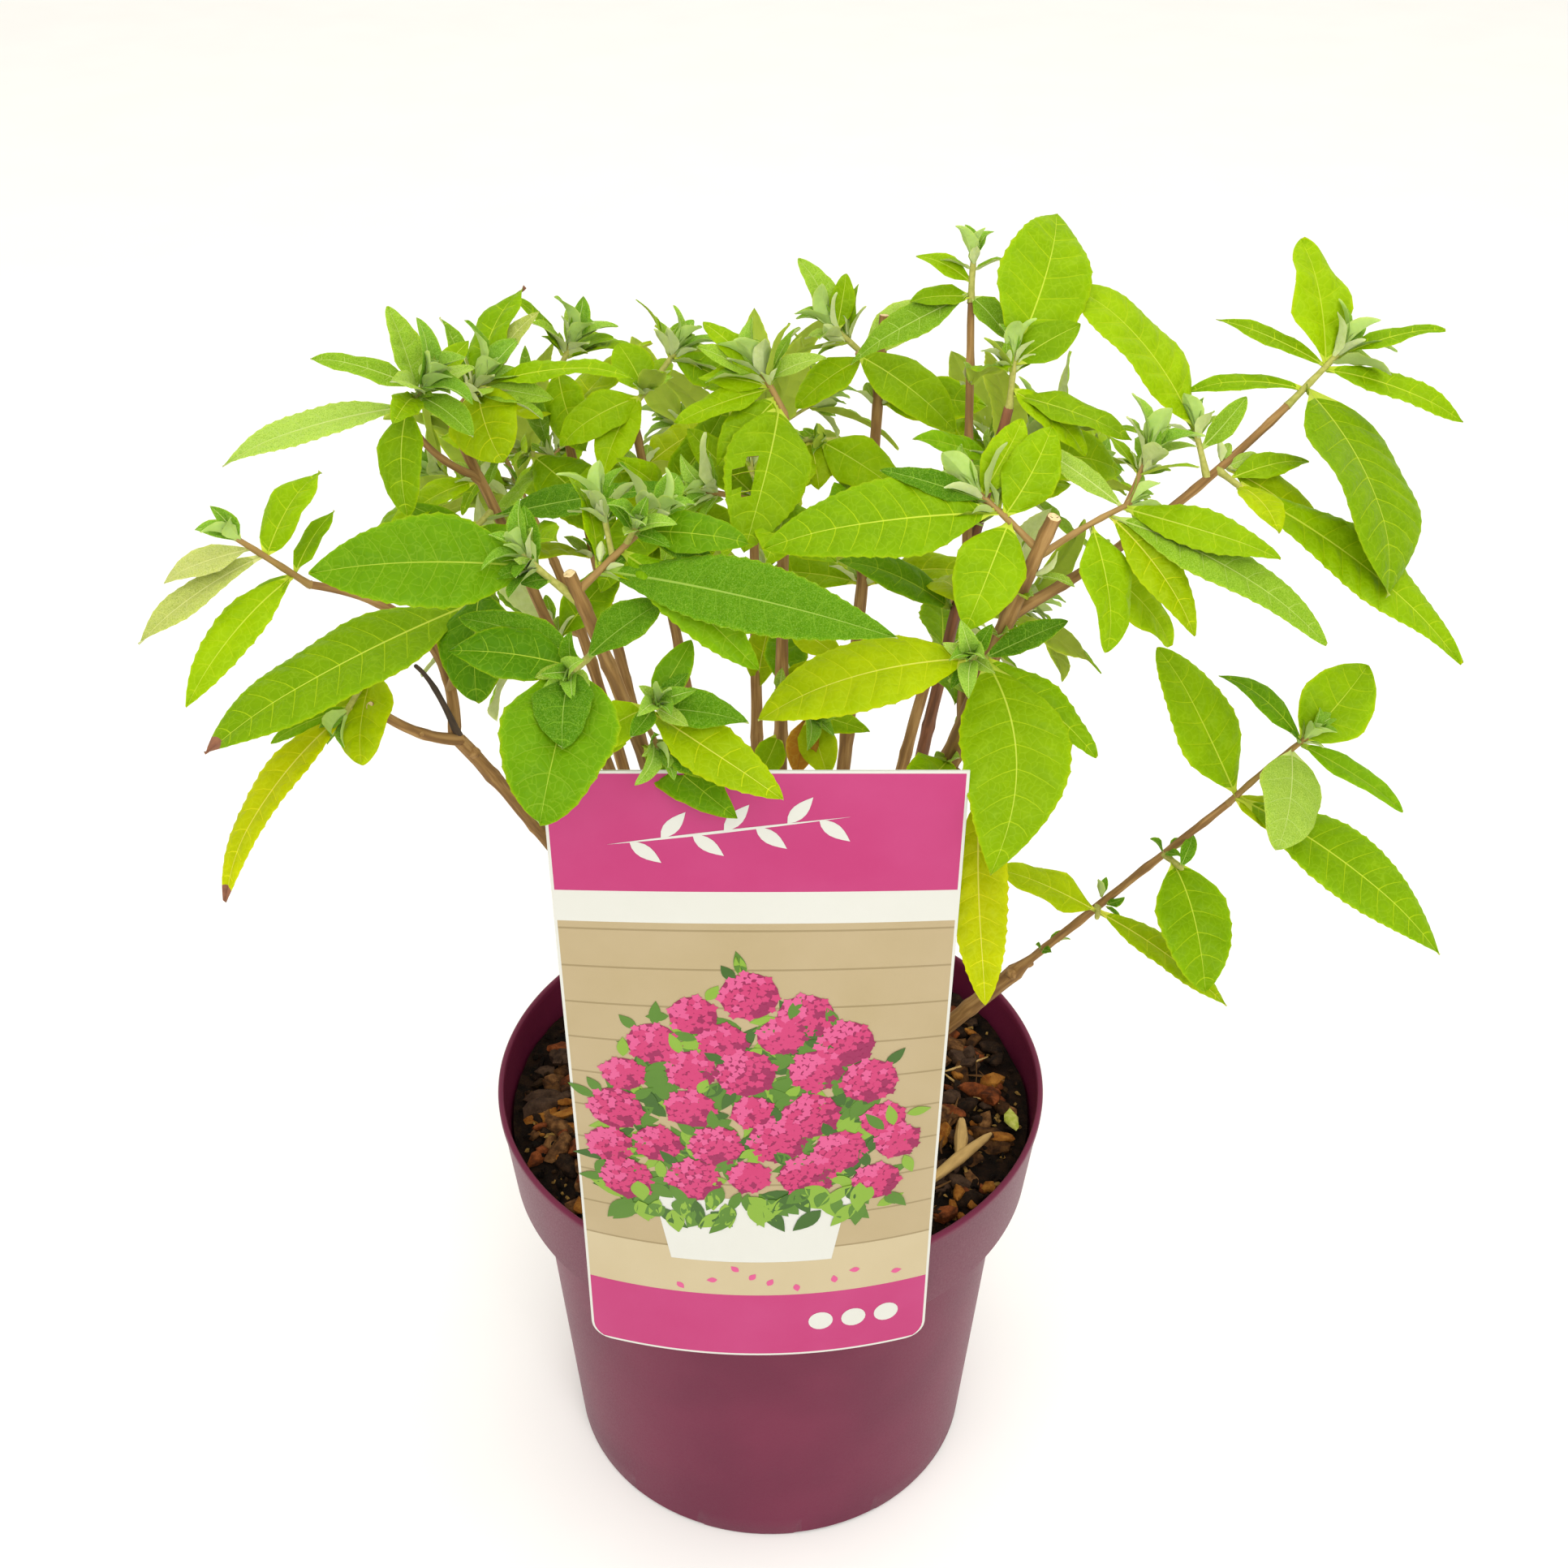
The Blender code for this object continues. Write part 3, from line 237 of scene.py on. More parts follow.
# Shoots.  Each one is a mass of leaves on one limb.
# on: limb and place along it
# twigs: parent twig, place on it, azimuth, rise, length, pairs of leaves by rule,
#        length of those leaves, length of the leaves of the tuft at the tip
# leaves: twig, place on it, azimuth, rise, length, width, kind
SHOOTS = {
    "leaves_left_low": {
        "on": ("bough_left", 0.6),
        "twigs": [(None, 0, -122, -30, 30, 0, 0, 0)],
        "leaves": [
            (0, 0.5, -98, -41, 27, 21, "yellow_green"), (0, 0.92, -128, -32, 62, 14, "yellow"),
            (0, 0.92, -166, -19, 24, 7, "green"),
        ],
    },
    "leaves_left_outer": {
        "on": ("bough_left", 1.0),
        "twigs": [(None, 0, -160, 45, 24, 0, 0, 0)],
        "leaves": [
            (0, 0.6, 54, 38, 28, 15, "lime"), (0, 0.2, 53, 38, 21, 8, "lime"),
            (0, 0.65, -149, -23, 40, 11, "pale"), (0, 0.8, -164, -14, 25, 9, "pale"),
            (0, 0.2, -131, -36, 46, 14, "lime"), (0, 0.2, -145, -26, 18, 10, "lime"),
        ],
    },
    "leaves_left_big": {
        "on": ("bough_left", 0.2),
        "twigs": [(None, 0, -45, 65, 46, 0, 0, 0)],
        "leaves": [(0, 0.75, -150, -15, 82, 28, "fresh"), (0, 0.85, -90, -36, 32, 22, "green")],
    },
    "leaves_left_upper": {
        "on": ("bough_left_rear", 1.0),
        "twigs": [(None, 0, -35, 45, 13, 1, 30, 24)],
        "leaves": [
            (0, 0.2, -162, -9, 54, 12, "pale"), (0, 0.92, 170, 14, 33, 8, "dark"),
            (0, 0.2, -89, -46, 32, 14, "green"),
        ],
    },
    "leaves_left_top": {
        "on": ("stem_left_rear", 1.0),
        "twigs": [(None, 0, 0, 48, 14, 1, 30, 21)],
        "leaves": [
            (0, 0.9, 68, 38, 38, 14, "lime"), (0, 1.0, 45, 34, 30, 8, "pale"),
            (0, 0.92, -5, 2, 46, 9, "lime"), (0, 0.92, -66, -34, 25, 22, "yellow_green"),
            (0, 0.92, -8, -12, 23, 8, "dark"),
        ],
    },
    "leaves_left_inner": {
        "on": ("stem_left_rear", 0.9),
        "twigs": [(None, 0, -125, -15, 14, 1, 26, 12)],
        "leaves": [
            (0, 0.2, -4, 12, 60, 13, "dark"), (0, 0.5, -40, -26, 24, 16, "green"),
            (0, 0.3, -155, -15, 30, 11, "lime"),
        ],
    },
    "leaves_rear_left_top": {
        "on": ("stem_rear_left", 1.0),
        "twigs": [(None, 0, 0, 62, 13, 1, 28, 19)],
        "leaves": [(0, 0.65, 9, 13, 16, 9, "lime"), (0, 0.2, -67, -39, 28, 15, "lime")],
    },
    "leaves_rear_mid_top": {
        "on": ("stem_rear_mid", 1.0),
        "twigs": [(None, 0, 20, 48, 22, 2, 26, 16)],
        "leaves": [
            (0, 0.3, 135, 46, 17, 13, "lime"), (0, 0.9, -22, -13, 27, 11, "lime"),
            (0, 0.2, -148, -24, 30, 15, "green"), (0, 0.2, -119, -36, 29, 13, "lime"),
        ],
    },
    "leaves_front_left": {
        "on": ("stem_front", 0.955),
        "twigs": [(None, 0, -165, 50, 14, 1, 22, 13)],
        "leaves": [(0, 0.6, -170, 4, 56, 25, "green"), (0, 0.25, -165, -3, 8, 8, "dark")],
    },
    "leaves_front_right": {
        "on": ("stem_front", 0.975),
        "twigs": [
            (None, 0, 20, 40, 24, 2, 26, 17), (0, 0.4, 110, 55, 14, 1, 18, 13),
            (0, 0.6, -60, 50, 10, 0, 0, 12),
        ],
        "leaves": [
            (0, 0.2, -18, -1, 79, 19, "dark"), (0, 0.5, -34, -19, 47, 13, "green"),
            (0, 0.8, -14, -5, 28, 12, "green"), (0, 0.9, -26, -18, 20, 9, "dark"),
        ],
    },
    "leaves_front_low": {
        "on": ("stem_front", 0.9),
        "twigs": [(None, 0, -105, 12, 20, 0, 0, 13)],
        "leaves": [
            (0, 0.5, 173, 19, 33, 11, "dark"), (0, 0.75, -176, 12, 32, 15, "green"),
            (0, 0.4, 23, 30, 26, 12, "dark"), (0, 0.95, -92, -15, 25, 15, "dark"),
            (0, 0.75, -100, -25, 44, 29, "green"),
        ],
    },
    "leaves_front_lowest": {
        "on": ("stem_front", 0.8),
        "twigs": [(None, 0, -68, 35, 26, 0, 0, 13), (0, 0.25, -60, -25, 12, 0, 0, 8)],
        "leaves": [
            (0, 0.75, -14, 0, 26, 11, "dark"), (0, 0.6, -35, -14, 44, 15, "yellow_green"),
            (0, 0.8, 45, 44, 20, 9, "green"), (0, 0.6, -150, -18, 20, 12, "lime"),
            (1, 0.9, -20, -6, 26, 11, "dark"),
        ],
    },
    "leaves_centre_top": {
        "on": ("stem_centre", 1.0),
        "twigs": [(None, 0, 140, 50, 14, 1, 28, 20)],
        "leaves": [
            (0, 0.75, 163, 23, 23, 8, "dark"), (0, 0.75, 142, 35, 27, 8, "green"),
            (0, 0.35, -138, -32, 27, 14, "green"), (0, 0.2, -104, -40, 48, 25, "green"),
            (0, 0.65, 178, 3, 21, 9, "green"), (0, 0.6, -164, -14, 30, 10, "green"),
            (0, 0.75, 13, 18, 19, 8, "pale"),
        ],
    },
    "leaves_centre_rear_top": {
        "on": ("stem_centre_rear", 0.94),
        "twigs": [(None, 0, 160, 38, 16, 1, 24, 16), (0, 0.3, -100, 20, 8, 0, 0, 0)],
        "leaves": [
            (0, 1.0, 125, 48, 26, 10, "dark"), (0, 0.9, 72, 52, 18, 8, "green"),
            (0, 0.2, 24, 31, 27, 14, "pale"), (0, 0.2, -158, -29, 26, 13, "green"),
            (1, 0.92, -28, -27, 38, 18, "green"),
        ],
    },
    "leaves_centre": {
        "on": ("stem_centre_rear", 0.86),
        "twigs": [(None, 0, -165, 10, 22, 1, 28, 0)],
        "leaves": [
            (0, 0.85, -77, -40, 16, 12, "yellow_green"), (0, 0.4, -57, -40, 25, 16, "dark"),
            (0, 0.7, -35, -25, 32, 17, "green"), (0, 0.35, -150, -22, 24, 13, "green"),
        ],
    },
    "leaves_tall_top": {
        "on": ("bough_tall", 1.0),
        "twigs": [(None, 0, 84, 70, 12, 0, 0, 9)],
        "leaves": [
            (0, 0.4, 164, 22, 18, 7, "green"), (0, 0.1, -175, -8, 18, 9, "green"),
            (0, 0.2, -168, -22, 40, 12, "dark"), (0, 0.1, -42, -32, 16, 9, "dark"),
        ],
    },
    "leaves_right_top": {
        "on": ("stem_red", 1.0),
        "twigs": [(None, 0, 80, 62, 14, 1, 20, 12)],
        "leaves": [
            (0, 1.0, 69, 42, 50, 27, "lime"), (0, 0.8, 20, 24, 22, 12, "green"),
            (0, 0.3, -30, -22, 28, 13, "lime"), (0, 0.2, -20, -12, 36, 13, "green"),
        ],
    },
    "leaves_right_inner": {
        "on": ("stem_trunk", 0.955),
        "twigs": [(None, 0, 145, 30, 20, 1, 26, 18)],
        "leaves": [
            (0, 0.8, 174, 16, 30, 8, "dark"), (0, 0.9, 46, 40, 24, 11, "lime"),
            (0, 0.5, 48, 38, 28, 15, "lime"), (0, 0.4, -120, -41, 32, 19, "lime"),
            (0, 0.6, -168, -9, 64, 24, "lime"),
        ],
    },
    "leaves_right_outer": {
        "on": ("stem_trunk", 0.945),
        "twigs": [(None, 0, 30, 15, 28, 0, 0, 0), (0, 0.95, 42, 60, 15, 1, 22, 18)],
        "leaves": [
            (0, 1.0, 156, 28, 30, 7, "pale"), (0, 0.92, -23, -14, 44, 13, "green"),
            (0, 0.75, -27, -19, 67, 19, "dark"), (0, 0.55, -80, -45, 35, 17, "lime"),
            (0, 0.75, -42, -32, 40, 13, "yellow_green"),
        ],
    },
    "leaves_right_low": {
        "on": ("stem_trunk", 0.8),
        "twigs": [(None, 0, -110, 30, 22, 0, 0, 12)],
        "leaves": [
            (0, 0.2, -93, -41, 61, 30, "fresh"), (0, 0.92, -167, -10, 60, 25, "yellow_green"),
            (0, 0.2, -35, -26, 41, 13, "lime"), (0, 0.2, 10, 23, 25, 8, "dark"),
        ],
    },
    "leaves_right_under": {
        "on": ("stem_trunk", 0.64),
        "twigs": [(None, 0, -50, -5, 18, 0, 0, 0)],
        "leaves": [(0, 0.55, -89, -46, 62, 17, "yellow")],
    },
    "leaves_mid_low": {
        "on": ("stem_centre", 0.67),
        "twigs": [(None, 0, -60, 10, 16, 0, 0, 0)],
        "leaves": [
            (0, 0.92, -105, -34, 19, 10, "dry"), (0, 0.92, -71, -33, 20, 12, "yellow_green"),
            (0, 0.4, -18, -8, 24, 9, "lime"),
        ],
    },
    "leaves_far_right_inner": {
        "on": ("bough_right", 0.7),
        "twigs": [(None, 0, 110, 50, 12, 0, 0, 13)],
        "leaves": [(0, 0.92, 145, 40, 55, 25, "lime"), (0, 0.5, 30, 40, 20, 7, "dark")],
    },
    "leaves_far_right_under": {
        "on": ("bough_right", 0.74),
        "twigs": [(None, 0, -55, -10, 8, 0, 0, 0)],
        "leaves": [
            (0, 0.9, -24, -23, 80, 20, "lime"), (0, 0.4, 20, 4, 26, 9, "green"),
            (0, 0.9, -75, -2, 26, 11, "yellow_green"),
        ],
    },
    "leaves_far_right_top": {
        "on": ("bough_right", 1.0),
        "twigs": [(None, 0, 25, 40, 20, 0, 0, 19)],
        "leaves": [
            (0, 0.35, -68, -39, 66, 40, "fresh"), (0, 0.75, 104, 50, 38, 20, "lime"),
            (0, 0.75, 165, 20, 34, 7, "fresh"), (0, 0.3, 180, 4, 34, 8, "lime"),
            (0, 1.0, 5, 8, 32, 7, "lime"), (0, 0.7, -16, -14, 42, 10, "lime"),
        ],
    },
    "leaves_low_right_tip": {
        "on": ("stem_low_right", 1.0),
        "twigs": [(None, 0, -15, 54, 34, 0, 0, 9)],
        "leaves": [
            (0, 0.1, 138, 52, 52, 23, "lime"), (0, 1.0, 158, 35, 32, 10, "green"),
            (0, 1.0, 34, 38, 31, 22, "lime"), (0, 0.9, -30, -20, 36, 11, "green"),
            (0, 0.8, -104, -36, 32, 23, "pale"), (0, 0.1, -34, -22, 76, 24, "lime"),
            (0, 0.0, -20, -19, 24, 13, "yellow_green"),
        ],
    },
    "leaves_low_right_mid": {
        "on": ("stem_low_right", 0.87),
        "twigs": [(None, 0, -70, 10, 8, 0, 0, 0)],
        "leaves": [(0, 0.2, -75, -39, 43, 24, "lime"), (0, 0.9, 60, 35, 12, 5, "dark")],
    },
    "leaves_low_right_low": {
        "on": ("stem_low_right", 0.72),
        "twigs": [(None, 0, -100, 15, 7, 0, 0, 0)],
        "leaves": [(0, 0.2, -31, -22, 51, 13, "yellow_green"), (0, 0.2, 170, 22, 36, 15, "yellow_green")],
    },
    "leaves_rear_left_mid": {
        "on": ("stem_rear_left", 0.88),
        "twigs": [(None, 0, -150, 25, 26, 3, 36, 15)],
        "leaves": [(0, 0.5, -45, -20, 40, 19, "green")],
    },
    "leaves_rear_mid_low": {
        "on": ("stem_rear_mid", 0.86),
        "twigs": [(None, 0, -60, 25, 24, 3, 36, 14)],
        "leaves": [(0, 0.5, -125, -20, 38, 18, "green")],
    },
    "leaves_centre_mid": {
        "on": ("stem_centre", 0.9),
        "twigs": [(None, 0, -165, 20, 22, 2, 34, 13)],
        "leaves": [(0, 0.6, -40, -15, 38, 17, "lime")],
    },
    "leaves_back_left": {
        "on": ("stem_back_left", 1.0),
        "twigs": [
            (None, 0, 125, 40, 34, 3, 62, 22), (0, 0.3, 180, 20, 34, 2, 54, 18),
            (0, 0.5, 60, 15, 26, 1, 44, 14), (0, 0.6, 130, -15, 26, 1, 48, 14),
        ],
        "leaves": [],
    },
    "leaves_back": {
        "on": ("stem_back", 1.0),
        "twigs": [
            (None, 0, 95, 35, 36, 3, 64, 22), (0, 0.3, 150, 10, 32, 2, 54, 18),
            (0, 0.45, 30, 20, 30, 2, 50, 16), (0, 0.6, 88, -15, 28, 1, 50, 14),
        ],
        "leaves": [],
    },
    "leaves_back_right": {
        "on": ("stem_back_right", 1.0),
        "twigs": [
            (None, 0, 50, 40, 34, 3, 62, 22), (0, 0.3, 0, 15, 32, 2, 54, 18),
            (0, 0.5, 105, 20, 28, 1, 46, 14), (0, 0.6, 55, -15, 26, 1, 48, 14),
        ],
        "leaves": [],
    },
    "leaves_back_low_left": {
        "on": ("stem_back_left", 0.72),
        "twigs": [(None, 0, 160, 5, 32, 3, 58, 15)],
        "leaves": [],
    },
    "leaves_back_low": {
        "on": ("stem_back", 0.68),
        "twigs": [(None, 0, 80, 5, 32, 3, 60, 15)],
        "leaves": [],
    },
    "leaves_back_low_right": {
        "on": ("stem_back_right", 0.7),
        "twigs": [(None, 0, 20, 5, 32, 3, 58, 15)],
        "leaves": [],
    },
}

# Limbs that end in a pruning cut, with bare wood showing
# Levels of a lump of bark and of a crumb: share of its height, share of its width
LUMP_LEVELS = ((-0.5, 0.55), (-0.36, 0.85), (-0.05, 1.0), (0.25, 0.92), (0.43, 0.68), (0.5, 0.3))
CRUMB_LEVELS = ((-0.5, 0.5), (0.0, 1.0), (0.5, 0.45))

CUT_LIMBS = ("stem_front", "stem_centre_rear", "stem_trunk", "bough_left_cut", "stem_left")

# Leaves whose tip has dried brown: shoot and row in its list of leaves
BROWN_TIPS = {("leaves_left_big", 0), ("leaves_left_low", 1), ("leaves_left_inner", 0), ("leaves_left_top", 0)}

# The leaf that an insect has bitten through
BITTEN_LEAF = ("leaves_centre_top", 3)

# Knobs left by buds and old side twigs: limb, place along it, size
KNOBS = (
    ("stem_low_right", 0.5, 3.4), ("stem_low_right", 0.53, 2.4), ("stem_trunk", 0.62, 3.4),
    ("stem_trunk", 0.5, 3.0), ("stem_left", 0.97, 3.0), ("bough_left_cut", 0.45, 1.6),
)

# Leaf kinds: blade shades, midrib shade, side vein shade, underside shade, felted or smooth
LEAF_KINDS = {
    "deep": (("588402", "4C7802", "628C03"), "98AE34", "72941A", "8FAA44", "smooth"),
    "green": (("6A9402", "5E8804", "76A002"), "9CB234", "82A214", "94AC44", "smooth"),
    "fresh": (("7E9E00", "749600", "8AAA00"), "AEBE40", "96AE14", "A2B440", "smooth"),
    "lime": (("86A800", "7A9E00", "93B200"), "B4C43C", "9AB212", "A4B63E", "smooth"),
    "yellow_green": (("A2B400", "95AC00"), "C6C84C", "B0BC14", "B2BA44", "smooth"),
    "yellow": (("B6BA00", "BEBE04"), "CEC854", "C2C218", "BAB440", "smooth"),
    "dark": (("527F0A", "487409"), "8CA844", "68901E", "A6B870", "felted"),
    "soft": (("7A9E20", "88AA2C", "6E941A"), "ACC064", "94AE48", "BECA88", "felted"),
    "pale": (("90AC3E", "9CB84A", "849E34"), "B6C474", "9EB658", "C6D096", "felted"),
    "straw": (("A4AC58", "AEB466", "98A24A"), "C4C880", "B0B668", "CCD09C", "felted"),
    "young": (("76A02C", "88AC3A", "6A9422"), "C0D078", "9CB454", "B4CE74", "felted"),
    "dry": (("A8691C", "94581A"), "7A4C1C", "8A5A22", "A8843E", "smooth"),
}

# Leaves that swing aside, lift or curve a little to pass their neighbours: degrees, degrees, millimetres
LEAF_TURNS = {
    ("leaves_centre", 2): (0, 7, 0), ("leaves_centre_mid", 0): (4, 0, 0),
    ("leaves_centre_rear_top", 0): (0, -7, 0), ("leaves_centre_rear_top", 1): (0, 4, 0),
    ("leaves_centre_top", 1): (0, -7, 0), ("leaves_centre_top", 3): (0, 7, 0),
    ("leaves_centre_top", 4): (0, 4, 0), ("leaves_far_right_top", 0): (0, 4, 0),
    ("leaves_far_right_top", 3): (0, -4, 0), ("leaves_far_right_top", 4): (0, 7, 0),
    ("leaves_far_right_under", 0): (0, -7, 0), ("leaves_front_lowest", 4): (-4, 0, 0),
    ("leaves_front_right", 0): (-4, 0, 0), ("leaves_front_right", 1): (0, -7, 0),
    ("leaves_front_right", 2): (0, 7, 0), ("leaves_front_right", 3): (4, -4, 0),
    ("leaves_left_outer", 4): (0, 7, 0), ("leaves_left_top", 0): (0, -7, 0),
    ("leaves_left_top", 2): (0, 7, 0), ("leaves_left_top", 3): (0, -4, 0),
    ("leaves_left_top", 4): (0, 7, 0), ("leaves_rear_left_top", 0): (0, 7, 0),
    ("leaves_rear_mid_top", 1): (0, -4, 0), ("leaves_rear_mid_top", 2): (0, 7, 0),
    ("leaves_right_inner", 1): (0, 7, 0), ("leaves_right_inner", 2): (0, 7, 0),
    ("leaves_right_inner", 4): (0, 7, 0), ("leaves_right_low", 0): (3, 4, -6),
    ("leaves_right_outer", 1): (0, 7, 0), ("leaves_right_outer", 4): (0, -7, 0),
    ("leaves_right_top", 0): (0, -7, 0), ("leaves_right_top", 2): (0, -7, 0),
    ("leaves_tall_top", 1): (0, 7, 0), ("leaves_tall_top", 2): (0, -4, 0),
}

# Single leaves low on the stems: limb, place along it, azimuth, rise, length, width, kind
STEM_LEAVES = (
    ("stem_front", 0.8, -130, -21, 17, 12, "lime"), ("stem_front", 0.76, -46, -8, 37, 14, "green"),
    ("stem_front", 0.82, -173, -22, 34, 17, "yellow"), ("stem_centre", 0.77, -30, -20, 20, 11, "yellow_green"),
    ("stem_centre", 0.67, 20, 50, 14, 8, "yellow_green"), ("stem_centre", 0.63, -123, -38, 16, 10, "lime"),
    ("stem_back", 0.5, 60, 68, 30, 12, "yellow_green"),
)

# Sprays whose leaves are darker or lighter than their kind; the rest are light
SPRAY_TONES = {
    "leaves_front_left": "shaded", "leaves_front_low": "shaded", "leaves_front_lowest": "shaded",
    "leaves_left_big": "shaded", "leaves_left_low": "even", "leaves_left_inner": "even",
    "leaves_front_right": "even", "leaves_right_inner": "even", "leaves_right_low": "even",
    "leaves_far_right_top": "even", "leaves_low_right_tip": "even", "leaves_low_right_mid": "even",
    "leaves_left_outer": "faded", "leaves_left_top": "faded",
}
TONE_KINDS = {
    "shaded": {"green": "deep"},
    "even": {},
    "light": {"green": "fresh", "dark": "soft"},
    "faded": {"green": "fresh", "dark": "soft", "pale": "straw"},
}
DRY_TIP = "6E4430"
LEAFY_HEIGHT = 318.0
OLD_LEAF_SHARE = 0.75
# Share of a limb's even taper that it keeps, at places along it
SLIMMER = {
    "stem_low_right": ((0, 0.5, 0.55, 1), (0.85, 1.1, 0.58, 0.72)),
    "stem_trunk": ((0, 0.6, 1), (1, 0.95, 0.8)),
    "stem_front": ((0, 0.6, 1), (1, 0.95, 0.82)),
}
BARE_LIMBS = ("bough_left_cut", "bough_left_dead", "bough_left", "stem_low_right", "stem_left", "stem_front")
VEIN_SPACING = 7.2


# Directions and paths

def heading(azimuth, rise):
    turn = math.radians(azimuth)
    lift = math.radians(rise)
    flat = math.cos(lift)
    return Vector((flat * math.cos(turn), flat * math.sin(turn), math.sin(lift)))


def limb_path(start, tip, bow, count):
    """Points from start to tip, pushed aside by the bow in the middle."""
    points = []
    for step in range(count + 1):
        part = step / count
        swell = 4.0 * part * (1.0 - part)
        points.append(start.lerp(tip, part) + bow * swell)
    return points


def point_on(path, place):
    """Point and direction at a place from 0 to 1 along a path."""
    span = place * (len(path) - 1)
    index = min(int(span), len(path) - 2)
    low, high = path[index], path[index + 1]
    return low.lerp(high, span - index), (high - low).normalized()


def side_clearance(axis, direction, axis_radius, own_radius):
    """Distance along a direction at which a limb's cut end clears its parent."""
    lean = max(0.35, axis.cross(direction).length)
    tilt = math.sqrt(max(0.0, 1.0 - lean * lean))
    return (axis_radius + GAP + own_radius * tilt) / lean


def end_clearance(axis, direction, own_radius):
    """Distance past a limb's cut end at which a leaning limb clears it."""
    return GAP + own_radius * axis.cross(direction).length


def radius_at(low, high, place):
    return low + (high - low) * place


def all_limbs():
    """Path, radii and bow of every stem and bough, by name."""
    limbs = {}
    for name, row in STEMS.items():
        foot = Vector((row[0], row[1], SOIL_LEVEL + GAP))
        limbs[name] = (limb_path(foot, Vector(row[2:5]), Vector(row[5:8]), 6), row[8], row[9])
    for name, row in BOUGHS.items():
        path, low, high = limbs[row[0]]
        place = row[1]
        base, axis = point_on(path, place)
        tip = Vector(row[2:5])
        toward = (tip - base).normalized()
        if place >= 1.0:
            start = base + axis * end_clearance(axis, toward, row[8])
        else:
            start = base + toward * side_clearance(axis, toward, radius_at(low, high, place), row[8])
        limbs[name] = (limb_path(start, tip, Vector(row[5:8]), 4), row[8], row[9])
    return limbs


# The growth rule

def square_to(direction, guide):
    """The guide with its part along the direction taken away."""
    rest = guide - direction * guide.dot(direction)
    if rest.length < 0.05:
        rest = direction.orthogonal()
    return rest.normalized()


def leaf(base, direction, guide, length, width, kind, rng):
    """One leaf as sizes and directions; its upper face looks toward the guide."""
    roll = math.radians(rng.uniform(-14, 14))
    face = Matrix.Rotation(roll, 3, direction) @ square_to(direction, guide)
    return {
        "base": base,
        "direction": direction,
        "face": face,
        "length": length,
        "width": width,
        "arch": rng.uniform(0.04, 0.10),
        "fold": rng.uniform(0.05, 0.14),
        "kind": kind,
    }


def outward_guide(point):
    """Where a leaf at this point turns its upper face: up and out of the crown."""
    out = Vector((point.x * 0.4, point.y * 0.4 - 45, 0)).normalized()
    return (Vector((0, 0, 1)) + out * 0.6).normalized()


def pair_leaves(base, axis, turn, spread, length, width, kind, rng):
    """Two opposite leaves that stand off a twig at the spread angle."""
    side = square_to(axis, Vector((0, 0, 1)))
    leaves = []
    for half in (0.0, math.pi):
        out = Matrix.Rotation(turn + half, 3, axis) @ side
        tilt = spread + rng.uniform(-0.12, 0.12)
        direction = (axis * math.cos(tilt) + out * math.sin(tilt)).normalized()
        long = length * rng.uniform(0.88, 1.08)
        root = base + out * 0.3 + axis * rng.uniform(-0.3, 0.3)
        leaves.append(leaf(root, direction, axis + Vector((0, 0, 0.5)), long, width * long / length, kind, rng))
    return leaves


def tuft_leaves(tip, axis, length, pairs, rng):
    """Closely set young leaves that close up toward the twig's tip."""
    leaves = []
    turn = rng.uniform(0.0, math.pi)
    for step in range(pairs):
        size = length * (1.0 - 0.24 * step)
        spread = math.radians(66 - 17 * step)
        kind = "pale" if step else "dark"
        base = tip - axis * (3.4 - 1.1 * step)
        leaves += pair_leaves(base, axis, turn, spread, size, size * 0.44, kind, rng)
        turn += math.pi / 2 + rng.uniform(-0.2, 0.2)
    return leaves


def first_tuft_pairs(tuft):
    return 3 if tuft > 18 else 2


def finer_tuft(tip, axis, length, rng):
    """The youngest leaves, standing nearly upright in the middle of a tuft."""
    leaves = []
    turn = rng.uniform(0.0, math.pi)
    for step, (share, lean, fold) in enumerate(((0.95, 40, 0.25), (0.8, 20, 0.6), (0.5, 6, 0.9))):
        size = max(14.0, length) * share
        base = tip - axis * (1.8 - 0.8 * step)
        made = pair_leaves(base, axis, turn, math.radians(lean), size, size * 0.42, "young", rng)
        for item in made:
            item["fold"] = fold
            item["arch"] = 0.16 - 0.05 * step
        leaves += made
        turn += math.pi / 2 + rng.uniform(-0.3, 0.3)
    return leaves


def axil_leaves(base, axis, turn, size, rng):
    """Small leaves of the sleeping buds above a pair of leaves."""
    leaves = []
    side = square_to(axis, Vector((0, 0, 1)))
    for half in (0.0, math.pi):
        out = Matrix.Rotation(turn + half, 3, axis) @ side
        lean = (axis * 0.75 + out * 0.66).normalized()
        root = base + out * 0.9 + axis * 0.9
        across = rng.uniform(0.0, math.pi)
        leaves += pair_leaves(root, lean, across, 0.6, size, size * 0.46, "dark", rng)
        leaves += pair_leaves(root + lean * 0.8, lean, across + 1.5, 0.3, size * 0.7, size * 0.34, "pale", rng)
    return leaves


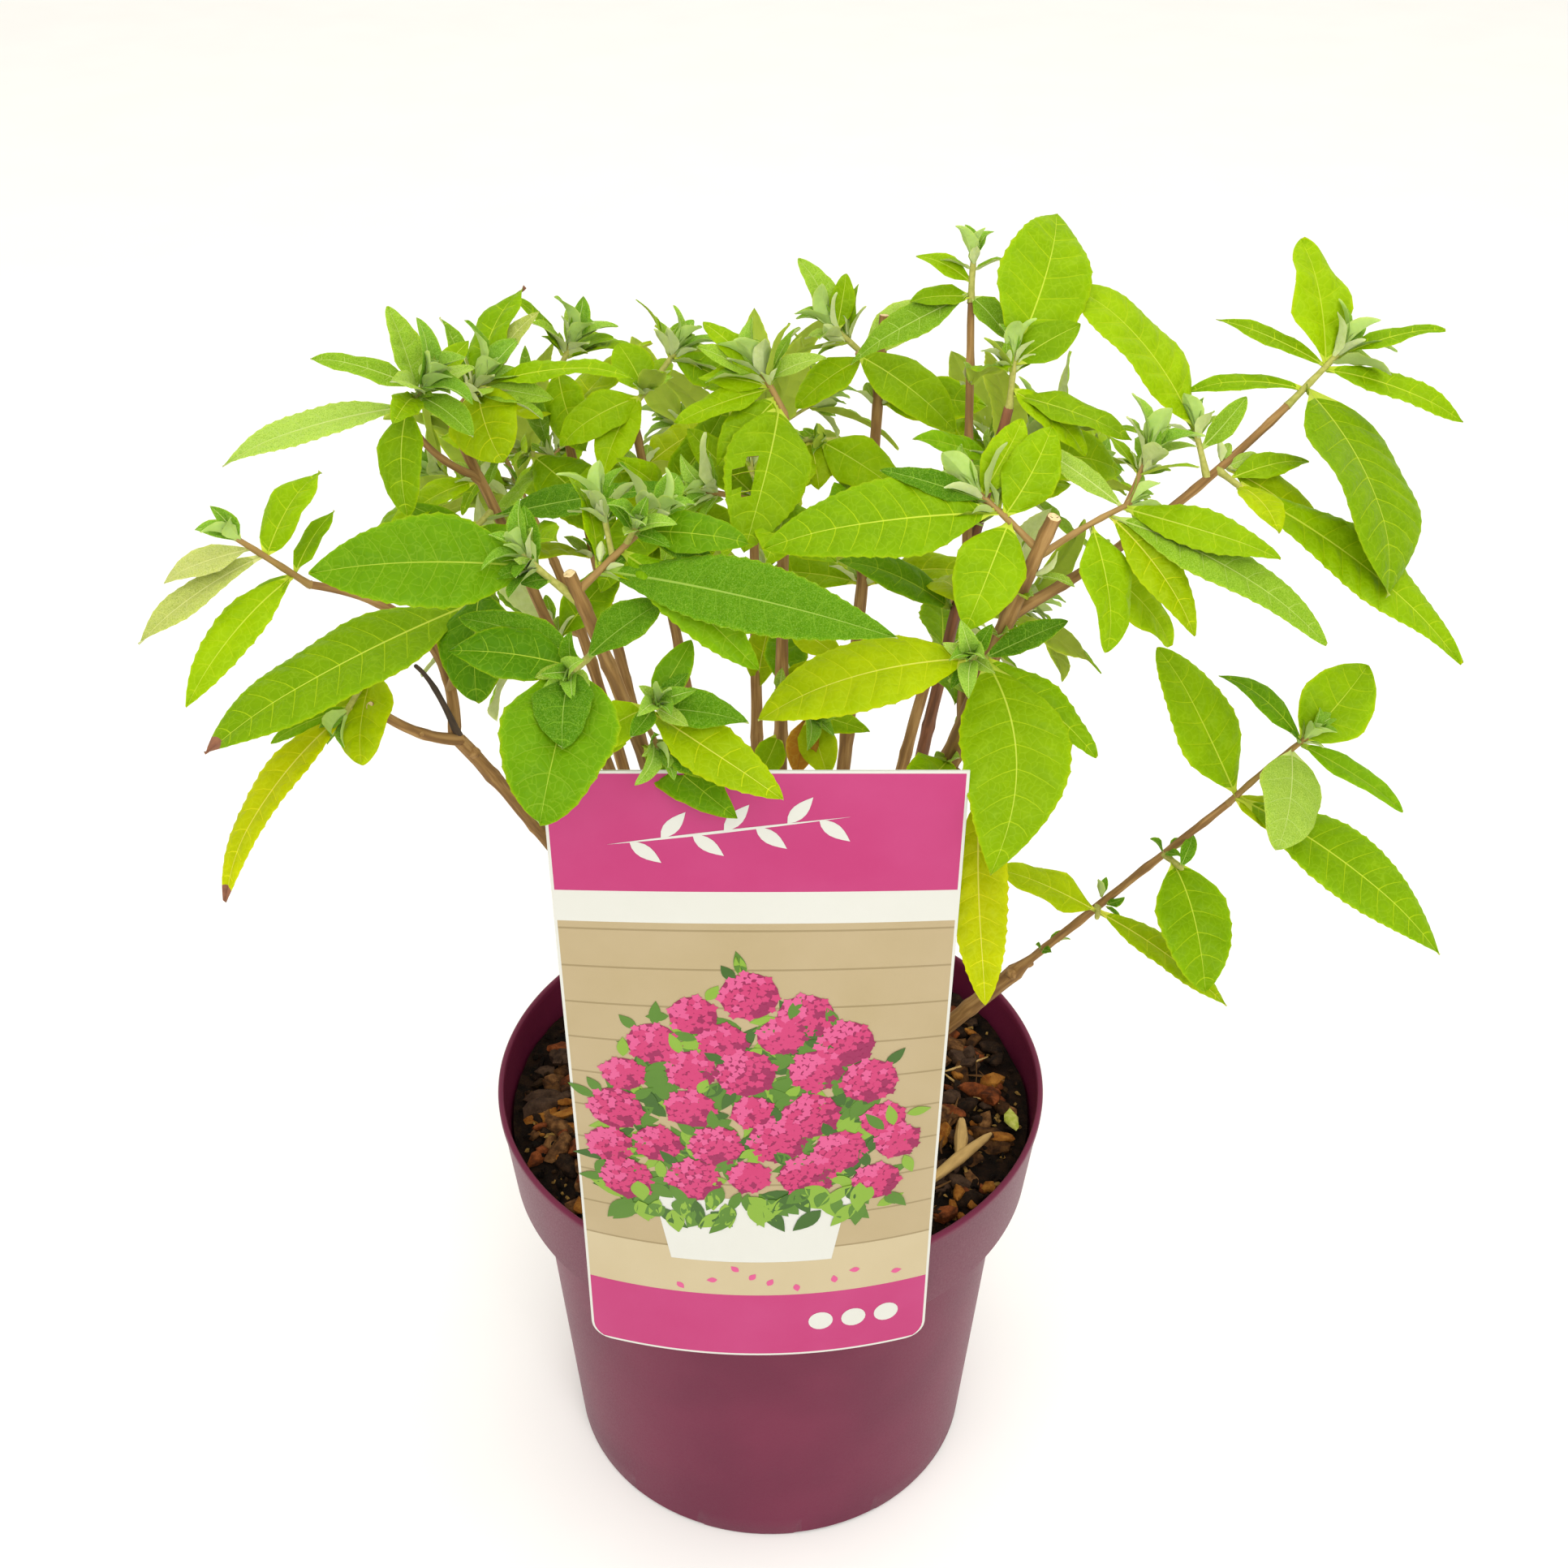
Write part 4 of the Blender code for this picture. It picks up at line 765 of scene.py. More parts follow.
def grow_shoot(name, limbs):
    """Twigs and leaves of one shoot: the model's own first, then the finer growth."""
    shoot = SHOOTS[name]
    rng = random.Random(f"{SEED} {name}")
    finer = random.Random(f"{SEED} finer {name}")
    limb, place = shoot["on"]
    path, low, high = limbs[limb]
    anchor, axis = point_on(path, place)
    twigs = []
    leaves = []
    small = []
    for parent, spot, azimuth, rise, length, pairs, pair_length, tuft in shoot["twigs"]:
        direction = heading(azimuth, rise)
        thick = 1.2 if parent is None else 0.95
        if parent is not None:
            base = twigs[parent][0].lerp(twigs[parent][1], spot)
        elif place >= 1.0:
            base = anchor + axis * end_clearance(axis, direction, thick * 1.25)
        else:
            base = anchor + direction * side_clearance(axis, direction, radius_at(low, high, place), thick)
        tip = base + direction * length
        root = anchor if parent is None else base
        twigs.append((base, tip, thick, thick * 0.75, root))
        turn = rng.uniform(0.0, math.pi)
        for step in range(pairs):
            part = 0.2 + 0.65 * step / max(1, pairs - 1) if pairs > 1 else 0.6
            size = pair_length * (1.0 - 0.3 * part)
            kind = rng.choice(("green", "green", "lime", "dark"))
            spot_on = base.lerp(tip, part)
            leaves += pair_leaves(spot_on, direction, turn, 1.05, size, size * 0.34, kind, rng)
            small += axil_leaves(spot_on, direction, turn, finer.uniform(7, 11), finer)
            turn += math.pi / 2
        if tuft:
            leaves += tuft_leaves(tip, direction, tuft, first_tuft_pairs(tuft), rng)
            small += finer_tuft(tip, direction, tuft, finer)
        elif length > 10:
            small += finer_tuft(tip, direction, 9, finer)
    for row, (index, spot, azimuth, rise, length, width, kind) in enumerate(shoot["leaves"]):
        low_end, high_end = twigs[index][0], twigs[index][1]
        base = low_end.lerp(high_end, max(0.08, min(0.92, spot)))
        swing, lift, curve = LEAF_TURNS.get((name, row), (0, 0, 0))
        direction = heading(azimuth + swing, rise + lift)
        base = base - direction * 0.3 + Vector((0, 0, rng.uniform(-0.2, 0.2)))
        leaves.append(leaf(base, direction, outward_guide(base), length, width, kind, rng))
        leaves[-1]["curve"] = curve
        leaves[-1]["brown_tip"] = (name, row) in BROWN_TIPS
        leaves[-1]["bitten"] = (name, row) == BITTEN_LEAF
    return twigs, leaves + small


def limb_growth(name, limbs):
    """Growth on a limb's own joints: small new leaves and, higher up, old broad ones."""
    rng = random.Random(f"{SEED} joints {name}")
    path, low, high = limbs[name]
    length = (path[-1] - path[0]).length
    leaves = []
    turn = rng.uniform(0.0, math.pi)
    reach = rng.uniform(26, 34)
    while reach < length - 8:
        place = reach / length
        base, axis = point_on(path, place)
        radius = radius_at(low, high, place)
        side = square_to(axis, Vector((0, 0, 1)))
        leafy = base.z > LEAFY_HEIGHT and name not in BARE_LIMBS
        for half in (0.0, math.pi):
            out = Matrix.Rotation(turn + half, 3, axis) @ side
            lean = (axis * 0.7 + out * 0.7).normalized()
            root = base + out * (radius * 0.8)
            if name == "stem_low_right" and place > 0.3:
                sprouts = pair_leaves(root, lean, turn, 0.5, rng.uniform(5, 9), 3.4, "dark", rng)
                leaves += sprouts if place > 0.54 else []
            if not leafy:
                continue
            leaves += pair_leaves(root, lean, turn, 0.45, rng.uniform(6, 11), 4.2, "pale", rng)
            if rng.random() < OLD_LEAF_SHARE:
                size = rng.uniform(24, 42)
                kind = rng.choice(("lime", "lime", "green", "yellow_green"))
                direction = (out + axis * 0.35 + Vector((0, 0, rng.uniform(-0.5, 0.1)))).normalized()
                leaves.append(leaf(root, direction, outward_guide(root), size, size * rng.uniform(0.36, 0.5), kind, rng))
        turn += math.pi / 2
        reach += rng.uniform(22, 32)
    return leaves


# Meshes and pieces

class Heap:
    """Many small shapes of one kind that end up as one piece."""

    def __init__(self, name):
        self.name = name
        self.corners = []
        self.grain = []
        self.faces = []
        self.slots = []
        self.finishes = []
        self.count = 0

    def slot(self, finish):
        if finish not in self.finishes:
            self.finishes.append(finish)
        return self.finishes.index(finish)

    def add(self, corners, faces, finish, grain=None):
        """Finish is one material for all the faces or a list with one for each.

        Grain gives each corner's place in a straightened limb, so that bark follows it.
        """
        corners = np.asarray(corners, dtype=float)
        self.corners.append(corners)
        self.grain.append(corners if grain is None else np.asarray(grain, dtype=float))
        self.faces += [tuple(index + self.count for index in face) for face in faces]
        if isinstance(finish, list):
            self.slots += [self.slot(one) for one in finish]
        else:
            self.slots += [self.slot(finish)] * len(faces)
        self.count += len(corners)

    def piece(self, smooth=True):
        mesh = bpy.data.meshes.new(self.name)
        mesh.from_pydata(np.concatenate(self.corners) * MM, [], self.faces)
        along = mesh.attributes.new("grain", "FLOAT_VECTOR", "POINT")
        along.data.foreach_set("vector", (np.concatenate(self.grain) * MM).ravel())
        mesh.polygons.foreach_set("material_index", self.slots)
        for finish in self.finishes:
            mesh.materials.append(finish)
        if smooth:
            mesh.shade_smooth()
        return add_piece(self.name, mesh)


def add_piece(name, mesh):
    piece = bpy.data.objects.new(name, mesh)
    bpy.context.scene.collection.objects.link(piece)
    return piece


def settle(piece):
    """Puts the result of a piece's modifiers into its mesh."""
    bpy.context.view_layer.update()
    graph = bpy.context.evaluated_depsgraph_get()
    mesh = bpy.data.meshes.new_from_object(piece.evaluated_get(graph))
    piece.modifiers.clear()
    old = piece.data
    piece.data = mesh
    bpy.data.meshes.remove(old)


def tube(points, radii, sides, relief=0.0):
    """Corners, faces and grain of a closed tube along points, with one radius for each."""
    corners = []
    grain = []
    reach = points[0].x * 7.0
    across = Vector((1.0, 0.2, 0.1))
    for index, point in enumerate(points):
        before = points[max(0, index - 1)]
        after = points[min(len(points) - 1, index + 1)]
        axis = (after - before).normalized()
        across = square_to(axis, across)
        other = axis.cross(across)
        for step in range(sides):
            turn = math.tau * step / sides
            out = across * math.cos(turn) + other * math.sin(turn)
            ridge = noise.noise(Vector((out.x * 1.9, out.y * 1.9, point.z / 9.0)) + points[0])
            corners.append(point + out * (radii[index] + relief * ridge))
            grain.append((radii[index] * math.cos(turn), radii[index] * math.sin(turn), reach))
        reach += (after - point).length
    faces = []
    for ring in range(len(points) - 1):
        for step in range(sides):
            here = ring * sides + step
            after = ring * sides + (step + 1) % sides
            faces.append((here, after, after + sides, here + sides))
    last = (len(points) - 1) * sides
    faces.append(tuple(reversed(range(sides))))
    faces.append(tuple(range(last, last + sides)))
    return corners, faces, grain


# Materials

def colour(code):
    """An sRGB hex value as the linear one that a shader takes."""
    values = []
    for start in (0, 2, 4):
        share = int(code[start:start + 2], 16) / 255
        values.append(share / 12.92 if share <= 0.04045 else ((share + 0.055) / 1.055) ** 2.4)
    return (*values, 1.0)


def mixed(code, other, share):
    """A shade that lies between two hex shades."""
    parts = []
    for start in (0, 2, 4):
        first, second = int(code[start:start + 2], 16), int(other[start:start + 2], 16)
        parts.append(f"{round(first + (second - first) * share):02X}")
    return "".join(parts)


def add_node(tree, kind, inputs=None, **settings):
    """Adds a node with its settings and its input values or links."""
    made = tree.nodes.new(kind)
    for key, value in settings.items():
        setattr(made, key, value)
    for key, value in (inputs or {}).items():
        if isinstance(value, bpy.types.NodeSocket):
            tree.links.new(value, made.inputs[key])
        else:
            made.inputs[key].default_value = value
    return made


def surface(name, shades, rough, patch, grain, relief, stretch=1.0, contrast=0.3, **sockets):
    """A surface whose close shades lie in patches, with a grain in its gloss and height.

    patch and grain are sizes in millimetres and relief is the height of the grain.
    stretch draws both out along the limb that the surface covers.
    """
    made = bpy.data.materials.new(name)
    made.use_nodes = True
    made.diffuse_color = colour(shades[0])
    tree = made.node_tree
    shader = tree.nodes["Principled BSDF"]
    if stretch > 1:
        along = add_node(tree, "ShaderNodeAttribute", attribute_name="grain").outputs["Vector"]
        where = add_node(tree, "ShaderNodeMapping", {"Vector": along, "Scale": (1.0, 1.0, 1.0 / stretch)}).outputs["Vector"]
    else:
        where = add_node(tree, "ShaderNodeTexCoord").outputs["Object"]
    blotch = add_node(tree, "ShaderNodeTexNoise", {"Vector": where, "Scale": 1.0 / (patch * MM), "Detail": 3.0})
    ramp = add_node(tree, "ShaderNodeValToRGB", {"Fac": blotch.outputs["Fac"]})
    stops = ramp.color_ramp.elements
    stops[0].position, stops[1].position = 0.5 - contrast / 2, 0.5 + contrast / 2
    stops[0].color, stops[1].color = colour(shades[0]), colour(shades[-1])
    if len(shades) == 3:
        stops.new(0.5).color = colour(shades[1])
    tree.links.new(ramp.outputs["Color"], shader.inputs["Base Color"])
    fine = add_node(tree, "ShaderNodeTexNoise", {"Vector": where, "Scale": 1.0 / (grain * MM), "Detail": 4.0})
    gloss = add_node(tree, "ShaderNodeMapRange", {
        "Value": fine.outputs["Fac"], "From Min": 0.3, "From Max": 0.7, "To Min": rough[0], "To Max": rough[1],
    })
    tree.links.new(gloss.outputs["Result"], shader.inputs["Roughness"])
    raised = add_node(tree, "ShaderNodeBump", {
        "Height": fine.outputs["Fac"], "Distance": relief * MM, "Strength": 1.0,
    })
    tree.links.new(raised.outputs["Normal"], shader.inputs["Normal"])
    for key, value in sockets.items():
        shader.inputs[key.replace("_", " ")].default_value = value
    return made


# Water-filled leaf flesh lets a little light through and reflects less than plastic does
LEAF_LIGHT = {
    "IOR": 1.45, "Specular_IOR_Level": 0.07, "Subsurface_Weight": 0.35,
    "Subsurface_Radius": (1.0, 1.2, 0.1), "Subsurface_Scale": 0.4 * MM,
}


def leaf_surface(name, shade, felted):
    """Leaf skin: puckered between its small veins, waxy when smooth, whitish when felted."""
    deep = mixed(shade, "2E5A00", 0.25)
    if felted:
        # Star hairs about 0.5 mm apart catch the light as pale dots and dull the gloss
        made = surface(
            name, (deep, shade, mixed(shade, "D8E4A8", 0.22)), (0.7, 0.85), 0.32, 0.5, 0.16, contrast=0.4, **LEAF_LIGHT,
        )
    else:
        # A thin wax over the blade has a satin gloss, and its tone changes over some 9 mm
        made = surface(name, (deep, shade), (0.4, 0.58), 9.0, 1.3, 0.12, contrast=0.7, **LEAF_LIGHT)
    tree = made.node_tree
    shader = tree.nodes["Principled BSDF"]
    # The net of small veins has meshes of about 2.4 mm, which bulge between paler, sunk lines
    place = add_node(tree, "ShaderNodeTexCoord").outputs["Object"]
    waver = add_node(tree, "ShaderNodeTexNoise", {"Vector": place, "Scale": 1.0 / (4.0 * MM), "Detail": 1.0})
    bent = add_node(tree, "ShaderNodeVectorMath", {0: waver.outputs["Color"], 1: (2.0 * MM,) * 3}, operation="MULTIPLY")
    spot = add_node(tree, "ShaderNodeVectorMath", {0: place, 1: bent.outputs["Vector"]}, operation="ADD")
    net = add_node(
        tree, "ShaderNodeTexVoronoi", {"Vector": spot.outputs["Vector"], "Scale": 1.0 / (2.4 * MM)},
        feature="DISTANCE_TO_EDGE",
    )
    line = add_node(tree, "ShaderNodeMapRange", {
        "Value": net.outputs["Distance"], "From Min": 0.01, "From Max": 0.07, "To Min": 0.16, "To Max": 0.0,
    })
    skin = shader.inputs["Base Color"].links[0].from_socket
    tinted = add_node(tree, "ShaderNodeMix", {
        "Factor": line.outputs["Result"], "A": skin, "B": colour(mixed(shade, "D0E060", 0.5)),
    }, data_type="RGBA")
    tree.links.new(tinted.outputs["Result"], shader.inputs["Base Color"])
    swell = add_node(tree, "ShaderNodeMapRange", {
        "Value": net.outputs["Distance"], "From Min": 0.0, "From Max": 0.4,
    }, interpolation_type="SMOOTHSTEP")
    grained = shader.inputs["Normal"].links[0].from_socket
    puffed = add_node(tree, "ShaderNodeBump", {
        "Height": swell.outputs["Result"], "Distance": 0.12 * MM, "Strength": 0.8, "Normal": grained,
    })
    tree.links.new(puffed.outputs["Normal"], shader.inputs["Normal"])
    return made


def leaf_finishes():
    """Blade, midrib, side vein and underside materials of every kind of leaf."""
    made = {}
    for kind, (shades, rib, vein, under, skin) in LEAF_KINDS.items():
        felted = skin == "felted"
        blades = [
            leaf_surface(f"{skin}_leaf_{kind}_{count + 1}", shade, felted) for count, shade in enumerate(shades)
        ]
        ribs = surface(f"leaf_midrib_{kind}", (rib, rib), (0.5, 0.65), 4.0, 0.8, 0.03, **LEAF_LIGHT)
        veins = surface(f"leaf_vein_{kind}", (vein, vein), (0.5, 0.65), 4.0, 0.8, 0.03, **LEAF_LIGHT)
        # The lower side is paler, with raised veins under a thin felt
        back = surface(f"leaf_underside_{kind}", (mixed(under, "7A9A30", 0.12), under), (0.75, 0.9), 1.6, 0.6, 0.1, **LEAF_LIGHT)
        made[kind] = (blades, ribs, veins, back)
    return made


# Leaves

def blade_rows(length):
    """Rows across a leaf: place, side of a vein strip, height of the pucker, tooth."""
    if length < 24:
        places = (0.0, 0.1, 0.22, 0.36, 0.5, 0.64, 0.78, 0.89, 0.96, 1.0)
        if length < 11:
            places = (0.0, 0.14, 0.32, 0.52, 0.72, 0.88, 0.96, 1.0)
        return [(place, 0, 0.0, 0.0) for place in places]
    veins = max(5, min(11, round(length / VEIN_SPACING)))
    gap = 0.80 / (veins - 1)
    between = ((0.3, 0.8, -0.6), (0.55, 1.0, 0.5), (0.78, 0.8, -0.6))
    if length < 40:
        between = ((0.4, 1.0, -0.6), (0.72, 0.9, 0.2))
    rows = [(0.0, 0, 0.0, 0.0), (0.035, 0, 0.0, 0.0), (0.07, 0, 0.0, 0.0)]
    for vein in range(veins):
        here = 0.10 + gap * vein
        rows += [(here, -1, 0.0, 0.4), (here, 1, 0.0, 1.0)]
        if vein < veins - 1:
            rows += [(here + gap * part, 0, puff, tooth) for part, puff, tooth in between]
    return rows + [(0.935, 0, 0.4, 0.3), (0.97, 0, 0.2, 0.0), (1.0, 0, 0.0, 0.0)]


def blade_columns(width):
    """Shares of the half width at which a leaf has points, from the midrib outward."""
    if width > 19:
        return (0.0, 0.25, 0.52, 0.8, 1.0)
    if width > 9:
        return (0.0, 0.32, 0.7, 1.0)
    return (0.0, 0.55, 1.0) if width > 4 else (0.0, 1.0)


def half_width(place, half, length, taper):
    """Outline: a narrow stalk, a wedge to the widest point, then a full side and a short tip."""
    broad = half / length
    widest = 0.44
    rising = np.sin(np.pi / 2 * np.clip(place / widest, 0, 1)) ** (1.5 - 1.3 * broad)
    beyond = np.clip((place - widest) / (1 - widest), 0, 1)
    falling = (1 - beyond ** 2) ** (taper - 0.5 * broad)
    stalk = 0.25 + 0.011 * length
    return np.maximum(half * np.minimum(rising, falling), stalk * np.clip(1 - place * 3, 0.12, 1))


def blade(item, finishes, rng):
    """Corners, faces and finishes of one closed leaf with sunk veins and a toothed edge."""
    length = item["length"]
    half = item["width"] / 2
    rows = np.array(blade_rows(length))
    shares = blade_columns(item["width"])
    share = np.array(list(reversed(shares)) + list(shares))[None, :]
    side = np.array([-1.0] * len(shares) + [1.0] * len(shares))[None, :]
    along, strip, puff, tooth = (rows[:, column][:, None] for column in range(4))
    place = along + 0.5 * half / length * 4 * along * (1 - along) * share ** 1.2
    place = np.clip(place + strip * (0.15 / length) * (1 - 0.6 * share), 0, 1)
    wide = half_width(place, half, length, rng.uniform(0.8, 1.05))
    rib = np.minimum((0.1 + 0.0029 * length) * (1.15 - place), wide * 0.45)
    tooth_size = 0.38 if length > 40 else 0.25
    across = side * (rib + (wide - rib) * share)
    across = across + side * (share > 0.99) * tooth * tooth_size * np.minimum(1, wide / half)
    young = item["kind"] in ("dark", "soft", "pale", "young") and length < 30
    fold = item["fold"] + (0.22 if young else 0.0)
    cushion = 1.15 * min(1.0, half / 9) * puff * np.sin(np.pi * np.clip(share, 0, 1)) ** 0.7
    wave = min(half, 9.0) * rng.uniform(0.06, 0.17)
    phase = rng.uniform(0, math.tau)
    rise = item["arch"] * length * 4 * place * (1 - place) + fold * np.abs(across)
    rise = rise - 0.10 * np.abs(across) * share ** 2 + cushion * wide / half
    rise = rise + wave * share ** 2 * np.sin(place * rng.uniform(8, 14) + phase + side)
    rise = rise - rng.uniform(0.1, 0.6) * length * np.clip(place - 0.68, 0, 1) ** 2
    sickle = item.get("curve", 0.0) + rng.uniform(-0.03, 0.03) * min(length, 60.0)
    sickle = sickle * 4 * place * (1 - place)
    twist = rng.uniform(-0.3, 0.3) * min(1.0, 45.0 / length) * (place - 0.3)
    groove = (share == 0) * 0.4 * min(1.0, half / 6)
    skin = (0.24 + 0.002 * length) * (1 - share ** 4) + (share == 0) * (0.2 + 0.006 * length) * (1 - place)
    top = place_blade(item, across, place * length, rise - groove, sickle, twist)
    back = place_blade(item, across, place * length, rise - groove - skin, sickle, twist)
    return stitch_blade(item, top, back, along, strip, finishes, rng)


def place_blade(item, across, along, rise, sickle, twist):
    """Turns a leaf's own sizes into points of the plant."""
    direction, face = np.array(item["direction"]), np.array(item["face"])
    sideways = np.cross(direction, face)
    turned_across = across * np.cos(twist) - rise * np.sin(twist) + sickle
    turned_rise = rise * np.cos(twist) + across * np.sin(twist)
    along = along + np.zeros_like(across)
    parts = ((turned_across, sideways), (along, direction), (turned_rise, face))
    return np.array(item["base"]) + sum(value[..., None] * way for value, way in parts)


def bite_cells(item, along, strip, middle):
    """Cells of a bitten leaf that are gone: holes in its right half, between its veins."""
    if not item.get("bitten"):
        return set()
    gone = set()
    for row in range(len(along) - 1):
        on_vein = strip[row, 0] < 0 < strip[row + 1, 0]
        for column, reach in ((middle + 2, 0.14), (middle + 3, 0.07)):
            if abs(along[row, 0] - 0.52) < reach and not on_vein:
                gone.add((row, column))
    return gone


def stitch_blade(item, top, back, along, strip, finishes, rng):
    """Joins upper and lower skin along the edge and deals out the finishes."""
    rows, columns = top.shape[:2]
    upper = np.arange(rows * columns).reshape(rows, columns)
    lower = upper.copy()
    lower[1:-1, 1:-1] = upper.size + np.arange((rows - 2) * (columns - 2)).reshape(rows - 2, columns - 2)
    corners = np.concatenate([top.reshape(-1, 3), back[1:-1, 1:-1].reshape(-1, 3)])
    blades, rib, vein, under = finishes[item["kind"]]
    skin = rng.choice(blades)
    middle = columns // 2 - 1
    gone = bite_cells(item, along, strip, middle)
    beyond = ((-1, 0), (0, 1), (1, 0), (0, -1))
    faces, kinds = [], []
    for row in range(rows - 1):
        on_vein = strip[row, 0] < 0 < strip[row + 1, 0]
        brown = item.get("brown_tip") and along[row, 0] > 0.92
        for column in range(columns - 1):
            loop = ((row, column), (row, column + 1), (row + 1, column + 1), (row + 1, column))
            if (row, column) in gone:
                for edge, (down, over) in enumerate(beyond):
                    near = (row + down, column + over)
                    if near in gone or not (0 <= near[0] < rows - 1 and 0 <= near[1] < columns - 1):
                        continue
                    first, second = loop[edge], loop[(edge + 1) % 4]
                    rim = (upper[first], upper[second], lower[second], lower[first])
                    faces.append(tuple(dict.fromkeys(rim)))
                    kinds.append(finishes["dry_tip"])
                continue
            veined = on_vein and 0 < column < columns - 2
            tone = rib if column == middle or along[row, 0] < 0.05 else vein if veined else skin
            # Both skins split along one diagonal, so that they can't cross at the thin edge
            for part in ((loop[0], loop[1], loop[2]), (loop[0], loop[2], loop[3])):
                faces.append(tuple(upper[spot] for spot in part))
                kinds.append(finishes["dry_tip"] if brown else tone)
                faces.append(tuple(lower[spot] for spot in reversed(part)))
                kinds.append(finishes["dry_tip"] if brown else under)
    return corners, faces, kinds


# Twigs and bark

def twig_tube(twig, rng):
    """A young twig, bowed a little and knotted where its leaves stood."""
    base, tip, low, high, root = twig
    low, high = 0.85 * low, 0.85 * high
    axis = (tip - base).normalized()
    aside = square_to(axis, Vector((rng.uniform(-1, 1), rng.uniform(-1, 1), 0.3)))
    length = (tip - base).length
    count = max(4, round(length / 3))
    points, radii = [], []
    if (root - base).length > 0.3:
        points, radii = [root], [low * 1.25]
    for step in range(count + 1):
        part = step / count
        points.append(base.lerp(tip, part) + aside * (0.08 * length * part * (1 - part)))
        radii.append(radius_at(low, high, part) * (1.14 if step % 3 == 0 else 1.0))
    points.append(tip + axis * 0.7)
    radii.append(high * 0.45)
    return tube(points, radii, 8)


def limb_shape(name, limbs, barks):
    """One stem or bough with a flared foot, swollen joints and a cut or blunt end."""
    path, low, high = limbs[name]
    start, tip = path[0], path[-1]
    bow = path[len(path) // 2] - start.lerp(tip, 0.5)
    length = (tip - start).length
    axis = (path[-1] - path[-2]).normalized()
    rng = random.Random(f"{SEED} joints {name}")
    joints = [rng.uniform(8, 18)]
    while joints[-1] < length:
        joints.append(joints[-1] + rng.uniform(20, 32))
    points, radii = [], []
    if name in STEMS:
        points.append(start - Vector((0, 0, 2.5)))
        radii.append(low * 1.5)
    else:
        parent, place = BOUGHS[name][:2]
        points.append(point_on(limbs[parent][0], place)[0])
        radii.append(low * 1.1)
    count = max(8, round(length / 2.2))
    for step in range(count + 1):
        part = step / count
        reach = part * length
        thick = radius_at(low, high, part)
        thick *= 1 + 0.16 * sum(math.exp(-((reach - joint) / 2.0) ** 2) for joint in joints)
        thick *= 1 + (0.42 if name in STEMS else 0.25) * math.exp(-reach / 6.0)
        thick *= np.interp(part, *SLIMMER.get(name, ((0, 1), (1, 1))))
        points.append(start.lerp(tip, part) + bow * (4 * part * (1 - part)))
        radii.append(thick)
    bark = barks["dead" if name == "bough_left_dead" else "red" if name == "stem_red" else "tan"]
    ends = ((0.0, 1.0, bark), (0.35, 0.72, bark), (0.55, 0.3, bark))
    if name in CUT_LIMBS:
        ends = ((0.05, 0.9, bark), (0.06, 0.34, barks["wood"]), (0.02, 0.3, barks["pith"]))
    sides = 18 if low > 2.2 else 12
    finishes = [bark] * (sides * (len(points) - 1))
    last_radius = radii[-1]
    for rise, share, finish in ends[0 if name in CUT_LIMBS else 1:]:
        points.append(tip + axis * rise)
        radii.append(last_radius * share)
        finishes += [finish] * sides
    corners, faces, grain = tube(points, radii, sides, relief=0.09 * low)
    return corners, faces, finishes + [bark, ends[-1][2]], grain


def knob_shape(limb, place, size, limbs):
    """A rounded scar with ridges left where a side twig once stood."""
    path, low, high = limbs[limb]
    base, axis = point_on(path, place)
    rng = random.Random(f"{SEED} knob {limb} {place}")
    aside = square_to(axis, Vector((rng.uniform(-1, 1), rng.uniform(-1.4, 0.2), 0.2)))
    out = (aside + axis * 0.5).normalized()
    radius = radius_at(low, high, place)
    points = [base + out * (radius * 0.5 + size * part) for part in (0.0, 0.35, 0.6, 0.8, 0.88)]
    radii = [size * part for part in (0.62, 0.6, 0.5, 0.4, 0.16)]
    return tube(points, radii, 10, relief=0.14 * size)


# Pot

def turned(profile, steps, lift=None):
    """Corners and faces of a profile of radius and height, turned about the upright.

    The profile runs from the upright and back to it.  Lift gives the height that
    a corner gains at an angle.
    """
    corners = []
    rings = []
    for radius, height in profile:
        if radius == 0:
            rings.append([len(corners)] * steps)
            corners.append(Vector((0, 0, height)))
            continue
        rings.append(list(range(len(corners), len(corners) + steps)))
        for step in range(steps):
            angle = math.tau * step / steps
            gain = lift(radius, height, angle) if lift else 0.0
            corners.append(Vector((radius * math.cos(angle), radius * math.sin(angle), height + gain)))
    faces = []
    for low, high in zip(rings, rings[1:]):
        for step in range(steps):
            after = (step + 1) % steps
            loop = (low[step], low[after], high[after], high[step])
            faces.append(tuple(dict.fromkeys(loop)))
    return corners, faces


def foot_lift(radius, height, angle):
    """Raises the foot ring between the pads that the pot stands on."""
    if height > PAD_HEIGHT or radius < FOOT_RADIUS - 8:
        return 0.0
    turn = (math.degrees(angle) + 90 - PAD_TURN) * FOOT_PADS / 360
    off = abs((turn + 0.5) % 1.0 - 0.5)
    return 0.0 if off < PAD_SHARE / 2 else PAD_HEIGHT - height


